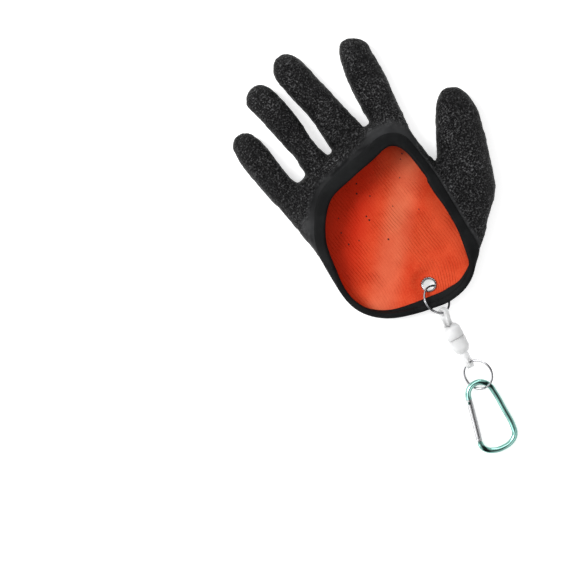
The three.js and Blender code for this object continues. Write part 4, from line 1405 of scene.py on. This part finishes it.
binding = edge_binding(paths, normals)
coat = latex_coat(form, rim_tree)
liner = knit_liner(form)
specks = latex_specks(liner)
bpy.data.objects.remove(form, do_unlink=True)
for piece in (binding, coat, liner, specks):
    apply_place(piece, Matrix.Identity(4))
    for polygon in piece.data.polygons:
        polygon.use_smooth = True
dress(coat, "crinkled_coat", "glove", "latex", LATEX, "latex_coat")
dress(liner, "orange_liner", "glove", "knit", KNITTED, "knit_liner")
dress(binding, "bound_edge", "glove", "binding", TAPED, "edge_binding")
dress(specks, "latex_specks", "glove", "latex", LATEX)
eyelet_low, eyelet_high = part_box("eyelet")
eyelet_z = (eyelet_low.z + eyelet_high.z) / 2 / MM
dress(eyelet_piece(eyelet_z), "toothed_eyelet", "glove", "steel", STEEL, "eyelet")

# The connector

eyelet_point = Vector((EYELET_X + 0.3, EYELET_Y - 1.2, eyelet_z + 0.3))
glove_exit = Vector((RELEASE_TOP.x, RELEASE_TOP.y, GLOVE_RING_EXIT_Z))
glove_ring = ring_basis(eyelet_point, glove_exit, GLOVE_RING_TILT, -1)
clip_exit = Vector((RELEASE_END.x, RELEASE_END.y, CLIP_RING_EXIT_Z))
clip_far = Vector((RELEASE_END.x, RELEASE_END.y - 2 * RING_R, CLIP_RING_FAR_Z))
clip_ring = ring_basis(clip_exit, clip_far, CLIP_RING_TILT, 1)
release_axis = (RELEASE_END - RELEASE_TOP).normalized()
release_seam = RELEASE_TOP.lerp(RELEASE_END, SEAM_SHARE)

dress(
    split_ring("glove_ring", glove_ring, glove_exit - glove_ring[0] * RING_R),
    "glove_split_ring", "glove", "steel", STEEL, "split_ring_glove")
dress(
    release_half("upper", True, -release_axis, glove_ring[1], glove_exit, release_seam),
    "release_inner_half", "glove", "plastic", PLASTIC, "release_upper")
dress(
    release_half("lower", False, release_axis, clip_ring[1], clip_exit, release_seam),
    "release_outer_half", "clip_side", "plastic", PLASTIC, "release_lower")
dress(
    split_ring("clip_ring", clip_ring, clip_exit + clip_ring[0] * RING_R),
    "clip_split_ring", "clip_side", "steel", STEEL, "split_ring_clip")
dress(carabiner_frame(), "anodised_frame", "clip_side", "anodised", ANODISED, "carabiner_frame")
dress(carabiner_gate(), "silver_gate", "gate", "silver", SILVER, "carabiner_gate")
dress(gate_rivet(), "hinge_rivet", "clip_side", "steel", STEEL, "gate_rivet")

# The studio

bpy.ops.object.select_all(action="DESELECT")
bpy.ops.mesh.primitive_plane_add(size=6, location=(0, 0, 0))
floor = active("studio_floor")
paper, *_ = new_material("white paper", {
    "Base Color": colour(0.82, 0.82, 0.82), "Roughness": 0.9, "Specular IOR Level": 0.1,
    "Emission Color": colour(1.0, 1.0, 1.0), "Emission Strength": PAPER_GLOW,
})
floor.data.materials.append(paper)

view_up = Vector((math.sin(VIEW_TURN), math.cos(VIEW_TURN), 0))
view_right = Vector((math.cos(VIEW_TURN), -math.sin(VIEW_TURN), 0))
distance = VIEW_WIDTH * VIEW_LENS / VIEW_SENSOR
camera_data = bpy.data.cameras.new("studio_camera")
camera_data.lens = VIEW_LENS
camera_data.sensor_width = VIEW_SENSOR
camera_data.clip_end = 20
camera = linked("studio_camera", camera_data)
camera.matrix_world = basis_matrix(
    view_right, view_up, Vector((0, 0, 1)),
    Vector((VIEW_MIDDLE[0], VIEW_MIDDLE[1], distance + 10)) * MM)
bpy.context.scene.camera = camera


def soft_light(name, across, up, height, size, power):
    """An area light, placed across and up in the photograph's own directions, aimed at the glove."""
    data = bpy.data.lights.new(name, "AREA")
    data.shape = "DISK"
    data.size = size
    data.energy = power
    light = linked(name, data)
    light.location = view_right * across + view_up * up + Vector((0, 0, height))
    light.rotation_euler = (Vector((0, 0.04, 0)) - light.location).to_track_quat("-Z", "Y").to_euler()
    return light


soft_light("key_light", across=-2.0, up=0.5, height=1.9, size=1.5, power=66)
soft_light("fill_light", across=1.6, up=-1.0, height=2.2, size=1.6, power=10)

world = bpy.data.worlds.new("studio")
bpy.context.scene.world = world
world.use_nodes = True
sky = Shading(world.node_tree)
direction = sky.add("TexCoord")["Generated"]
glow = sky.ramp(sky.split(direction)[2], 0.4, 0.9, 0.06, 1.0)
key_side = view_up * 0.5 - view_right * 0.87
toward_key = sky.vector("DOT_PRODUCT", direction, key_side)["Value"]
bright_half = sky.ramp(toward_key, *SKY_BRIGHT_FROM, SKY_DARK, SKY_BRIGHT)
far_half = sky.ramp(toward_key, *SKY_FAR_TO, SKY_FAR, 0.0)
stripe_from = sky.ramp(toward_key, *SKY_STRIPE_FROM, 0.0, SKY_STRIPE)
stripe_to = sky.ramp(toward_key, *SKY_STRIPE_TO, 1.0, 0.0)
in_metal = sky.scaled(stripe_from, stripe_to, sky.plus(bright_half, far_half))
path = sky.add("LightPath")
seen = sky.maths("MAXIMUM", glow, path["Is Camera Ray"])
mixed = sky.add("Mix", {0: path["Is Glossy Ray"], 2: seen, 3: in_metal})[0]
sky_grey = sky.add("CombineColor", {0: mixed, 1: mixed, 2: mixed})[0]
fill(world.node_tree.nodes["Background"].inputs, {"Color": sky_grey, "Strength": 0.9})
bpy.context.scene.view_settings.view_transform = "Standard"
